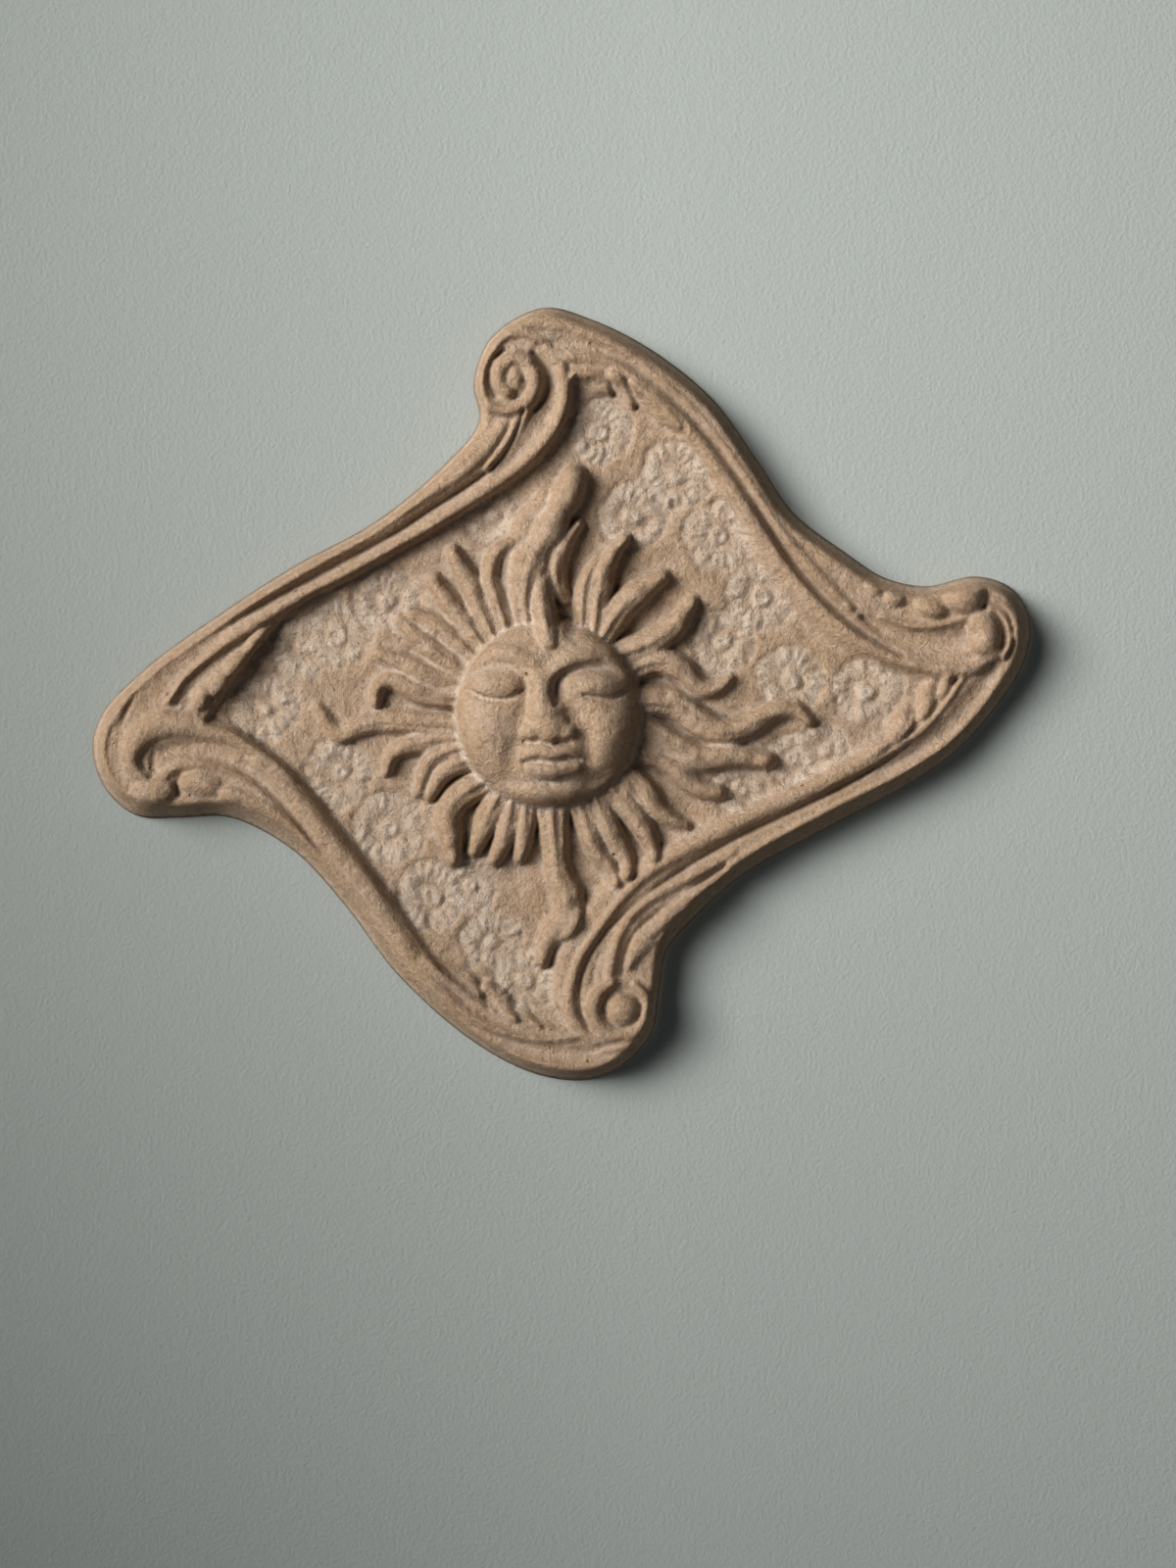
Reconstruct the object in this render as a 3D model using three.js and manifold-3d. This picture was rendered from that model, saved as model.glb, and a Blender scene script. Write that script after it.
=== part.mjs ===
// Sun face wall plaque, one casting in pale terracotta.
// It hangs as drawn: +X to the viewer's right, +Z up, the carved front towards -Y.
// The flat back lies in the plane Y = 0, and the origin is on it, behind the middle of the face.

import * as THREE from "three";
import { mergeVertices } from "three/addons/utils/BufferGeometryUtils.js";
import Module from "manifold-3d";

// Driving dimensions, in millimetres.
const plaqueWidth = 431; // widest span of the outline, from hook to hook
const fieldHeight = 14; // sunk field between the borders, over the flat back
const borderRise = 5; // floor of the border over the field
const sideLean = 7.5; // how far the sides lean in from the back to the border
const rollRise = 5; // crest of the large border rolls over the border's floor
const coilRise = 6; // crest of the top scroll's coil over the border's floor
const beadRise = 3.5; // crest of the narrow beads over the border's floor
const scrollRise = 7; // crest of the scroll bosses over the border's floor
const leafRise = 7.5; // crest of the leaves in the corners over the field
const rayRootRise = 11; // rays where they leave the face, over the field
const rayTipRise = 4.5; // rays where they end, over the field
const faceRise = 27; // middle of the face over the field
const noseRise = 6; // tip of the nose over the middle of the face
const featureSink = 5; // how far below the middle of the face its brows, lids, nose and lips spring
const rosetteRise = 1; // petal ends above the field
const buttonRise = 1.8; // rosette centres above the field
const rootHeight = 8; // carved forms reach down to here inside the body, so that none floats
const grooveDepth = 2.5; // thin grooves between the beads, below the border floor
const rimThickness = 0.2; // straight part of the sides at the back

// Heights over the flat back that follow from them.
const borderHeight = fieldHeight + borderRise;
const rollHeight = borderHeight + rollRise;
const coilHeight = borderHeight + coilRise;
const beadHeight = borderHeight + beadRise;
const scrollHeight = borderHeight + scrollRise;
const leafHeight = fieldHeight + leafRise;
const rayRootHeight = fieldHeight + rayRootRise;
const rayTipHeight = fieldHeight + rayTipRise;
const faceHeight = fieldHeight + faceRise;
const featureFoot = faceHeight - featureSink;

// The carving is laid out on a sheet, x to the right and y down, in units of the plaque's width.
// It was sighted from one place in front, so what stands off the wall is drawn back towards there.
const sheetWidth = 958;
const sheetOrigin = [558, 725];
const sightPoint = [600, 800];
const sightDistance = 1100;
const unit = plaqueWidth / sheetWidth;

// How finely the forms are cut.
const outlineSteps = 96;
const fieldSteps = 40;
const sideSteps = 2;
const barSides = 6;
const rollSteps = 15;
const coilSteps = 14;
const leafSteps = 4;
const shortRaySteps = 6;
const longRaySteps = 10;
const featureSteps = 6;
const grooveFineness = { steps: 16, sides: 4 };
const knobFineness = { around: 8, rings: 2 };
const bossFineness = { around: 10, rings: 2 };
const buttonFineness = { around: 7, rings: 1 };
const faceFineness = { around: 30, rings: 8 };

// The outline at the wall, clockwise from the top scroll.
const outline = [
  [554, 314], [604, 326], [665, 357], [727, 407], [772, 468], [810, 523], [863, 564], [902, 589],
  [945, 598], [996, 588], [1033, 601], [1052, 636], [1044, 679], [1015, 724], [976, 767], [927, 801],
  [845, 845], [759, 893], [712, 934], [681, 970], [674, 1007], [665, 1055], [630, 1091], [595, 1102],
  [544, 1095], [480, 1061], [405, 994], [351, 923], [298, 867], [234, 834], [180, 834], [139, 832],
  [108, 806], [94, 765], [104, 728], [149, 681], [223, 627], [299, 578], [383, 532], [451, 476],
  [488, 430], [483, 390], [501, 344],
];

// The sunk field's edge, one open curve from corner to corner for each side.
const fieldSides = [
  [[585, 386], [625, 387], [668, 408], [718, 460], [760, 516], [796, 586], [840, 634], [895, 668],
    [975, 690]],
  [[983, 695], [945, 732], [862, 783], [780, 824], [696, 863], [625, 908], [584, 955], [571, 1005],
    [582, 1042]],
  [[572, 1050], [520, 1037], [455, 998], [400, 923], [345, 850], [290, 785], [240, 750], [213, 740]],
  [[208, 734], [246, 687], [295, 628], [377, 581], [460, 534], [550, 476], [580, 425], [583, 394]],
];

// Border rolls and beads: path, half-widths along it, and crest height.
const rolls = [
  // upper right side: the outer band and the bead beside the field
  { path: [[545, 332], [582, 337], [632, 358], [700, 412], [765, 498], [800, 553], [862, 611]],
    half: [8, 8, 7, 5], crest: rollHeight },
  { path: [[574, 371], [602, 368], [652, 388], [716, 442], [780, 541], [845, 622], [905, 663], [986, 684]],
    half: [4, 6, 9, 8, 7, 6], crest: beadHeight },
  // right curl
  { path: [[905, 624], [937, 634], [975, 632], [994, 624]], half: [4, 6, 4], crest: rollHeight },
  { path: [[1006, 622], [1025, 629], [1031, 647], [1022, 672]], half: [3, 4, 3], crest: rollHeight },
  { path: [[1010, 602], [1035, 620], [1039, 655], [1015, 714], [975, 757], [900, 797], [800, 843],
    [700, 892], [650, 926], [627, 966], [622, 1000]], half: [6, 7, 7, 7, 7, 5], crest: rollHeight },
  // lower right side: the bead beside the field, and the coil it ends in
  { path: [[984, 692], [955, 728], [890, 776], [800, 822], [700, 875], [636, 918], [593, 972],
    [582, 1015], [596, 1050]],
    half: [3, 5, 8, 8, 7, 6], crest: beadHeight },
  // lower left side: the bead beside the field and the outer roll
  { path: [[592, 1055], [545, 1055], [490, 1032], [430, 974], [375, 895], [310, 815], [262, 771],
    [215, 750], [164, 748]],
    half: [3, 5, 9, 9, 6, 5], crest: rollHeight },
  { path: [[648, 1068], [590, 1087], [530, 1076], [455, 1030], [395, 970], [335, 885], [275, 813],
    [222, 780], [172, 789]],
    half: [7, 8, 9, 8, 7], crest: rollHeight },
  // upper left side: the bead beside the field, and the outer roll that turns round the left hook
  { path: [[572, 374], [577, 404], [555, 451], [495, 500], [400, 562], [300, 613], [215, 669], [172, 714]],
    half: [5, 7, 6, 6, 4], crest: beadHeight },
  { path: [[518, 452], [470, 493], [380, 548], [280, 600], [190, 654], [128, 722], [110, 768],
    [122, 806], [172, 817]],
    half: [5, 9, 10, 10, 9], crest: rollHeight },
  // top scroll's outer band
  { path: [[560, 352], [530, 338], [505, 352], [491, 382], [500, 408], [522, 416]],
    half: [5, 8, 6], crest: rollHeight },
];

// Thin grooves between a roll and the bead beside it.
const grooves = [
  [[620, 363], [665, 388], [700, 421], [760, 500], [808, 574], [850, 622], [918, 666]],
  [[985, 700], [908, 775], [800, 833], [700, 886], [630, 935], [596, 985], [592, 1030]],
  [[532, 428], [500, 484], [400, 548], [280, 607], [180, 668], [130, 730]],
];
const grooveHalf = 2.2;

// Scrolls: each coil winds in from its outer end, round a centre, to its last radius.
const scrolls = [
  { centre: [526, 384], radii: [27, 6], turns: 1.25, startAngle: 60,
    lead: [516, 455], half: [6, 6, 5], crest: coilHeight },
  { centre: [633, 1030], radii: [31, 27], turns: -0.85, startAngle: -110,
    lead: [624, 985], half: [6, 7, 4], crest: rollHeight },
];

// Knobs and buds on the border: centre, half-width, half-height, turn in degrees, crest height.
const knobs = [
  [[633, 1028], 18, 18, 0, scrollHeight],
  [[136, 774], 12, 22, 10, scrollHeight],
  [[160, 808], 20, 12, -15, rollHeight],
  [[1008, 652], 16, 25, 20, scrollHeight],
  [[982, 610], 19, 17, 0, scrollHeight],
  [[946, 617], 16, 9, 10, rollHeight],
  [[914, 607], 12, 7, 15, beadHeight],
  [[203, 799], 20, 11, -8, rollHeight],
  [[240, 811], 16, 8, -15, rollHeight],
];

// Leaves, each a tapered flute: those on the field's corners, then those on the border.
const leaves = [
  [[588, 384], [616, 386], [628, 404]],
  [[614, 380], [640, 392], [652, 416]],
  [[640, 390], [668, 408], [690, 438]],
  [[194, 730], [198, 706], [222, 688]],
  [[216, 704], [230, 680], [256, 662]],
  [[240, 678], [258, 658], [284, 636]],
  [[886, 778], [908, 746], [933, 714]],
  [[922, 750], [940, 722], [952, 700]],
  [[950, 716], [960, 700], [974, 686]],
  [[446, 984], [474, 994], [492, 1024]],
  [[488, 1004], [506, 1012], [520, 1038]],
  [[426, 500], [462, 470], [508, 446]],
  [[738, 895], [700, 908], [668, 930]],
  [[704, 926], [668, 944], [642, 978]],
  [[244, 824], [275, 826], [318, 858]],
];
const leafHalf = [4, 9, 3];

// Rays: each path runs from under the face's edge to its tip.
const longRays = [
  [[535, 640], [532, 590], [556, 530], [570, 500], [592, 476]],
  [[630, 716], [687, 717], [734, 746], [788, 728], [828, 738]],
  [[560, 800], [564, 860], [571, 897], [582, 925], [556, 958], [554, 984]],
  [[490, 742], [410, 736], [363, 744], [343, 744], [324, 720]],
];
const shortRays = [
  [[515, 640], [507, 595], [522, 562], [546, 550]],
  [[582, 630], [571, 590], [577, 558], [597, 531]],
  [[600, 650], [604, 605], [620, 568], [640, 549]],
  [[608, 656], [645, 610], [679, 588]],
  [[628, 668], [668, 652], [696, 632], [709, 611]],
  [[635, 684], [676, 674], [712, 702], [747, 690]],
  [[640, 730], [689, 760], [722, 774], [785, 774]],
  [[640, 762], [678, 772], [706, 803], [736, 810]],
  [[628, 784], [658, 805], [673, 827], [701, 843]],
  [[610, 790], [638, 820], [654, 842], [667, 876]],
  [[600, 800], [620, 840], [640, 872], [638, 894]],
  [[590, 805], [600, 843], [612, 874], [628, 902]],
  [[534, 810], [532, 850], [529, 877]],
  [[528, 806], [516, 855], [501, 880]],
  [[518, 800], [494, 836], [482, 869]],
  [[508, 790], [468, 812], [456, 838], [462, 877]],
  [[490, 770], [448, 786], [436, 812]],
  [[486, 756], [440, 772], [424, 810]],
  [[485, 748], [420, 760], [396, 790]],
  [[486, 702], [424, 700], [398, 694], [383, 720]],
  [[488, 692], [438, 682], [408, 666], [374, 664]],
  [[496, 686], [452, 668], [420, 652], [403, 630]],
  [[502, 672], [456, 640], [412, 621]],
  [[512, 664], [482, 628], [440, 588]],
  [[522, 660], [498, 612], [463, 563]],
];
const longRayHalf = [18, 16, 11];
const shortRayHalf = [13, 13, 10];

// The face: a round dome with soft swells, and the forms raised on it.
const face = { centre: [558, 725], half: [97, 101], fullness: 0.75 };
const swells = [
  { at: [501, 755], reach: 30, rise: 2.2 }, // cheeks
  { at: [616, 752], reach: 30, rise: 2.2 },
  { at: [556, 798], reach: 18, rise: 2 }, // chin
  { at: [534, 712], reach: 14, rise: -2 }, // inner corners of the eyes
  { at: [580, 710], reach: 14, rise: -2 },
  { at: [556, 655], reach: 40, rise: 1 }, // forehead
];

// Lids and sides of the nose: centre, half-width, half-height, turn, and rise over the middle of the face.
const faceBosses = [
  [[505, 699], 28, 12, -4, 1],
  [[611, 695], 29, 12, 4, 1],
  [[533, 746], 8, 7, 0, 2],
  [[583, 745], 8, 7, 0, 2],
];

// Nose, forelock, brows and lips, with the rise of each end over the middle of the face.
const faceStrokes = [
  { path: [[557, 668], [555, 700], [556, 738], [558, 754]], half: [14, 13, 20], rises: [0, noseRise] },
  { path: [[549, 592], [545, 622], [548, 648], [562, 668]], half: [12, 12, 4], rises: [-5, 1.5] },
  { path: [[566, 696], [584, 680], [632, 671]], half: [3, 5, 3], rises: [1, -0.5] },
  { path: [[546, 692], [524, 678], [484, 680]], half: [3, 5, 3], rises: [1, -1] },
  { path: [[532, 771], [560, 764], [592, 771]], half: [4, 7, 4], rises: [2, 2] },
  { path: [[538, 777], [562, 786], [588, 779]], half: [4, 7, 4], rises: [2, 2] },
];

// Rosettes pressed into the field: centre and petal radius.
const rosettes = [
  [[612, 441], 30], [[691, 486], 33], [[645, 528], 30], [[735, 549], 33], [[775, 609], 31], [[737, 654], 30],
  [[806, 695], 33], [[884, 703], 31], [[842, 768], 27], [[756, 806], 26], [[344, 647], 33], [[271, 723], 33],
  [[347, 789], 33], [[398, 845], 34], [[394, 612], 30], [[441, 914], 33], [[503, 960], 30], [[537, 1005], 26],
];
const petals = 8;
const notchDepth = 0.22; // of the petal radius
const notchRise = 0.3; // of the petals' own rise
const buttonRadius = 12;

// A place on the sheet, at a height over the back, in the plaque's frame.
function place([x, y], height) {
  const nearer = 1 - height / sightDistance;
  const across = (x - sightPoint[0]) * nearer + sightPoint[0] - sheetOrigin[0];
  const down = (y - sightPoint[1]) * nearer + sightPoint[1] - sheetOrigin[1];
  return new THREE.Vector3(across * unit, -height, -down * unit);
}

function curveThrough(points, closed = false) {
  const nodes = points.map(([x, y]) => new THREE.Vector3(x, y, 0));
  return new THREE.CatmullRomCurve3(nodes, closed, "centripetal");
}

// A value that runs evenly through a list, at a share t of its length.
function along(values, t) {
  const last = values.length - 1;
  const step = Math.min(Math.floor(t * last), last - 1);
  return THREE.MathUtils.lerp(values[step], values[step + 1], t * last - step);
}

const wasm = await Module();
wasm.setup();

// A closed three.js geometry as a solid that can be joined and cut.
function solid(geometry) {
  const bare = geometry.clone();
  bare.deleteAttribute("normal");
  bare.deleteAttribute("uv");
  const merged = mergeVertices(bare, 1e-4);
  return new wasm.Manifold(
    new wasm.Mesh({
      numProp: 3,
      vertProperties: merged.attributes.position.array,
      triVerts: new Uint32Array(merged.index.array),
    }),
  );
}

// Moves every vertex of a geometry by a function that returns its new place.
function reshape(geometry, move) {
  const position = geometry.attributes.position;
  const vertex = new THREE.Vector3();
  for (let i = 0; i < position.count; i += 1) {
    const moved = move(vertex.fromBufferAttribute(position, i));
    position.setXYZ(i, moved.x, moved.y, moved.z);
  }
  return geometry;
}

// A bar with closed, rounded ends, laid along a sheet path. It has a rounded back, which stands
// between the height it springs from and its crest, and a root sunk into the body below.
function bar(path, { half, crest, from, steps, sides = barSides, root = rootHeight }) {
  const curve = curveThrough(path);
  const crests = Array.isArray(crest) ? crest : [crest, crest];
  const sphere = new THREE.SphereGeometry(1, sides, steps, Math.PI / 2);
  return solid(reshape(sphere, (vertex) => {
    const t = THREE.MathUtils.clamp((1 - vertex.y) / 2, 0, 1);
    const ring = Math.hypot(vertex.x, vertex.z);
    const open = ring > 1e-6 ? Math.sqrt(ring) : 0;
    const turn = Math.atan2(vertex.x, vertex.z);
    const middle = curve.getPointAt(t);
    const heading = curve.getTangentAt(t);
    const side = open * Math.sin(turn) * along(half, t);
    const rise = along(crests, t) - from;
    const lift = open * Math.cos(turn);
    const height = lift > -1e-6 ? from + lift * rise : root;
    return place([middle.x + heading.y * side, middle.y - heading.x * side], height);
  }));
}

// A low dome with an oval foot, turned on the sheet.
function dome([centre, halfWidth, halfHeight, turnDegrees, crest], from, { around, rings }) {
  const turn = THREE.MathUtils.degToRad(turnDegrees);
  const sphere = new THREE.SphereGeometry(1, around, 2 * rings);
  return solid(reshape(sphere, (vertex) => {
    const x = vertex.x * halfWidth;
    const y = vertex.z * halfHeight;
    const height = vertex.y > -1e-6 ? from + vertex.y * (crest - from) : rootHeight;
    return place(
      [
        centre[0] + x * Math.cos(turn) - y * Math.sin(turn),
        centre[1] + x * Math.sin(turn) + y * Math.cos(turn),
      ],
      height,
    );
  }));
}

function shapeOf(points, height) {
  return new THREE.Shape(points.map((point) => {
    const { x, z } = place(point, height);
    return new THREE.Vector2(x, z);
  }));
}

// An outline in the plaque's plane made a block that runs from one height to another.
function block(shape, low, high, options = {}) {
  const extrusion = new THREE.ExtrudeGeometry(shape, { depth: high - low, bevelEnabled: false, ...options });
  extrusion.rotateX(Math.PI / 2);
  extrusion.translate(0, -low, 0);
  return solid(extrusion);
}

// The body: straight back, sides that lean in and round over to the border floor.
function body() {
  const points = curveThrough(outline, true).getSpacedPoints(outlineSteps).slice(0, -1);
  const half = new THREE.ExtrudeGeometry(shapeOf(points.map(({ x, y }) => [x, y]), 0), {
    depth: rimThickness,
    bevelThickness: borderHeight - rimThickness,
    bevelSize: sideLean,
    bevelOffset: -sideLean,
    bevelSegments: sideSteps,
    curveSegments: 1,
  });
  half.rotateX(Math.PI / 2);
  const reach = 2 * plaqueWidth;
  const behind = new THREE.BoxGeometry(reach, reach, reach);
  behind.translate(0, reach / 2, 0);
  return solid(half).subtract(solid(behind));
}

function fieldRecess() {
  const points = fieldSides.flatMap((side) => {
    const curve = curveThrough(side);
    return curve.getSpacedPoints(fieldSteps / fieldSides.length).map(({ x, y }) => [x, y]);
  });
  return block(shapeOf(points, borderHeight), fieldHeight, rollHeight);
}

function groove(path) {
  return bar(path, {
    half: [grooveHalf, grooveHalf], crest: rollHeight, from: borderHeight, root: borderHeight - grooveDepth,
    ...grooveFineness,
  });
}

function scroll({ centre, radii, turns, startAngle, lead, half, crest }) {
  const path = [lead];
  for (let step = 0; step <= coilSteps; step += 1) {
    const share = step / coilSteps;
    const angle = THREE.MathUtils.degToRad(startAngle - 360 * turns * share);
    const radius = THREE.MathUtils.lerp(radii[0], radii[1], share);
    path.push([centre[0] + radius * Math.cos(angle), centre[1] + radius * Math.sin(angle)]);
  }
  return bar(path, { half, crest, from: borderHeight, steps: coilSteps });
}

// A daisy: petals that rise towards their ends, with notches between them, round a button.
function rosette([centre, radius]) {
  const drum = new THREE.SphereGeometry(1, 2 * petals, 3);
  const daisy = solid(reshape(drum, (vertex) => {
    const angle = Math.atan2(vertex.z, vertex.x);
    const crest = 0.5 + 0.5 * Math.cos(petals * angle);
    const reach = Math.hypot(vertex.x, vertex.z) > 1e-6 ? radius * (1 - notchDepth * (1 - crest)) : 0;
    const top = fieldHeight + rosetteRise * THREE.MathUtils.lerp(notchRise, 1, reach > 0 ? crest : 0);
    return place(
      [centre[0] + reach * Math.cos(angle), centre[1] + reach * Math.sin(angle)],
      vertex.y > 0 ? top : rootHeight,
    );
  }));
  const button = [centre, buttonRadius, buttonRadius, 0, fieldHeight + buttonRise];
  return daisy.add(dome(button, fieldHeight, buttonFineness));
}

function faceDome() {
  const { centre, half, fullness } = face;
  const sphere = new THREE.SphereGeometry(1, faceFineness.around, 2 * faceFineness.rings);
  return solid(reshape(sphere, (vertex) => {
    const swell = Math.pow(Math.max(vertex.y, 0), fullness);
    const at = [centre[0] + vertex.x * half[0], centre[1] + vertex.z * half[1]];
    const bumps = swells.map(({ at: [x, y], reach, rise }) => {
      const far = Math.hypot(at[0] - x, at[1] - y) / reach;
      return swell * rise * Math.exp(-far * far);
    });
    const raised = fieldHeight + swell * faceRise + bumps.reduce((sum, bump) => sum + bump, 0);
    return place(at, vertex.y > -1e-6 ? raised : rootHeight);
  }));
}

function ray(path, half, steps) {
  return bar(path, { half, crest: [rayRootHeight, rayTipHeight], from: fieldHeight, steps });
}

function faceBoss([centre, halfWidth, halfHeight, turnDegrees, rise]) {
  return dome([centre, halfWidth, halfHeight, turnDegrees, faceHeight + rise], featureFoot, bossFineness);
}

function faceStroke({ path, half, rises }) {
  const crest = rises.map((rise) => faceHeight + rise);
  return bar(path, { half, crest, from: featureFoot, steps: featureSteps });
}

function plaque() {
  let piece = body().subtract(fieldRecess());
  for (const path of grooves) piece = piece.subtract(groove(path));
  const raised = [
    ...rolls.map(({ path, half, crest }) => bar(path, { half, crest, from: borderHeight, steps: rollSteps })),
    ...scrolls.map(scroll),
    ...knobs.map((knob) => dome(knob, borderHeight, knobFineness)),
    ...leaves.map((path) => bar(path, {
      half: leafHalf,
      crest: leafHeight,
      from: fieldHeight,
      steps: leafSteps,
    })),
    ...rosettes.map(rosette),
    ...longRays.map((path) => ray(path, longRayHalf, longRaySteps)),
    ...shortRays.map((path) => ray(path, shortRayHalf, shortRaySteps)),
    faceDome(),
    ...faceBosses.map(faceBoss),
    ...faceStrokes.map(faceStroke),
  ];
  for (const form of raised) piece = piece.add(form);
  return piece;
}

// A solid as a mesh of the scene.
function meshOf(name, made, material) {
  const { numProp, vertProperties, triVerts } = made.getMesh();
  const positions = new Float32Array((vertProperties.length / numProp) * 3);
  for (let i = 0; i < positions.length / 3; i += 1) {
    positions.set(vertProperties.subarray(i * numProp, i * numProp + 3), i * 3);
  }
  const geometry = new THREE.BufferGeometry();
  geometry.setAttribute("position", new THREE.BufferAttribute(positions, 3));
  geometry.setIndex(new THREE.BufferAttribute(triVerts, 1));
  geometry.computeVertexNormals();
  const mesh = new THREE.Mesh(geometry, material);
  mesh.name = name;
  return mesh;
}

const terracotta = new THREE.MeshStandardMaterial({ color: 0xb99c80, roughness: 0.95, metalness: 0 });

const group = new THREE.Group();
group.add(meshOf("sun_plaque", plaque(), terracotta));

export default group;
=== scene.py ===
import math

import bmesh
import bpy
import numpy as np
from mathutils import Matrix, Vector


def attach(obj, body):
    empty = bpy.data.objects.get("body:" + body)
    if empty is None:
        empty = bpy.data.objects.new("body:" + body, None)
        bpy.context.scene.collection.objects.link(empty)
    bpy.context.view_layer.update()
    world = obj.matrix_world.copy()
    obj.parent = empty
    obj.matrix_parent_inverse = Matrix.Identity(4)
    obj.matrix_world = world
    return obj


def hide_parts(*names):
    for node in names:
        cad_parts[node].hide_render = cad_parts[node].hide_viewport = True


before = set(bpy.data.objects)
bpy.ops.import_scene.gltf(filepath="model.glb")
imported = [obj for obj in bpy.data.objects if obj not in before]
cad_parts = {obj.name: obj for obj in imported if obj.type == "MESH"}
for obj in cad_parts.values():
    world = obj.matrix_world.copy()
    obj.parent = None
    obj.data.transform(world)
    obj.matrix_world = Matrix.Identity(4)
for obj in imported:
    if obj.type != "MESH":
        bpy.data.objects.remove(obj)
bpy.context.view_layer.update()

# Driving dimensions, in millimetres. Heights are measured from the flat back.
PLAQUE_WIDTH = 431.0
FIELD_HEIGHT = 14.0
BORDER_HEIGHT = 19.0
FACE_RISE = 24.0  # middle of the face over the field
EDGE_RADIUS = 0.9  # arris between the side and the back
# Steps that round the arris: how much further in, and the height over the back, as shares of its radius.
ARRIS = ((0.3, 0.3), (0.7, 0.0))

# The carving is laid out on a sheet, x to the right and y down, in units of the plaque's width.
# It was sighted from one place in front, so what stands off the wall is drawn back towards there.
SHEET_WIDTH = 958.0
SHEET_ORIGIN = np.array([558.0, 725.0])
SIGHT_POINT = np.array([600.0, 800.0])
SIGHT_DISTANCE = 1100.0
UNIT = PLAQUE_WIDTH / SHEET_WIDTH
MM = 0.001

# The outline at the wall, clockwise from the top scroll.
OUTLINE = [
    (554, 314), (604, 326), (665, 357), (727, 407), (772, 468), (810, 523), (863, 564), (902, 589),
    (945, 598), (996, 588), (1033, 601), (1052, 636), (1044, 679), (1015, 724), (976, 767), (927, 801),
    (845, 845), (759, 893), (712, 934), (681, 970), (674, 1007), (665, 1055), (630, 1091), (595, 1102),
    (544, 1095), (480, 1061), (405, 994), (351, 923), (298, 867), (234, 834), (180, 834), (139, 832),
    (108, 806), (94, 765), (104, 728), (149, 681), (223, 627), (299, 578), (383, 532), (451, 476),
    (488, 430), (483, 390), (501, 344),
]

# How the sides climb from the wall: place on the outline, width of the slope and how round its top is.
SIDE_SLOPES = [
    ((530, 318), 7, 3.0), ((604, 326), 10, 1.5), ((700, 385), 11, 1.5), ((810, 523), 12, 1.5),
    ((900, 588), 12, 3.0), ((996, 588), 10, 3.0), ((1050, 640), 11, 3.0), ((1015, 724), 12, 2.0),
    ((845, 845), 14, 1.5), ((712, 934), 12, 3.0), ((674, 1010), 8, 4.0), ((610, 1100), 9, 4.0),
    ((480, 1061), 10, 3.0), ((351, 923), 12, 4.0), ((250, 842), 15, 3.0), ((160, 834), 14, 3.0),
    ((94, 765), 10, 4.0), ((149, 681), 8, 4.0), ((299, 578), 7, 3.0), ((430, 500), 7, 3.0),
    ((485, 400), 7, 3.0),
]

# The sunk field's edge: one open curve for each side, with the width of the step down to the field.
FIELD_SIDES = [
    ([(588, 380), (625, 383), (662, 402), (712, 456), (752, 514), (790, 584), (836, 634), (890, 668),
      (972, 690)], 12),
    ([(983, 695), (945, 732), (862, 783), (780, 824), (696, 863), (625, 908), (584, 955), (571, 1005),
      (582, 1042)], 14),
    ([(572, 1050), (520, 1037), (455, 998), (400, 923), (345, 850), (290, 785), (240, 750),
      (213, 740)], 7),
    ([(208, 734), (244, 682), (293, 623), (374, 576), (457, 529), (546, 470), (577, 422), (582, 392)], 6),
]

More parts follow.
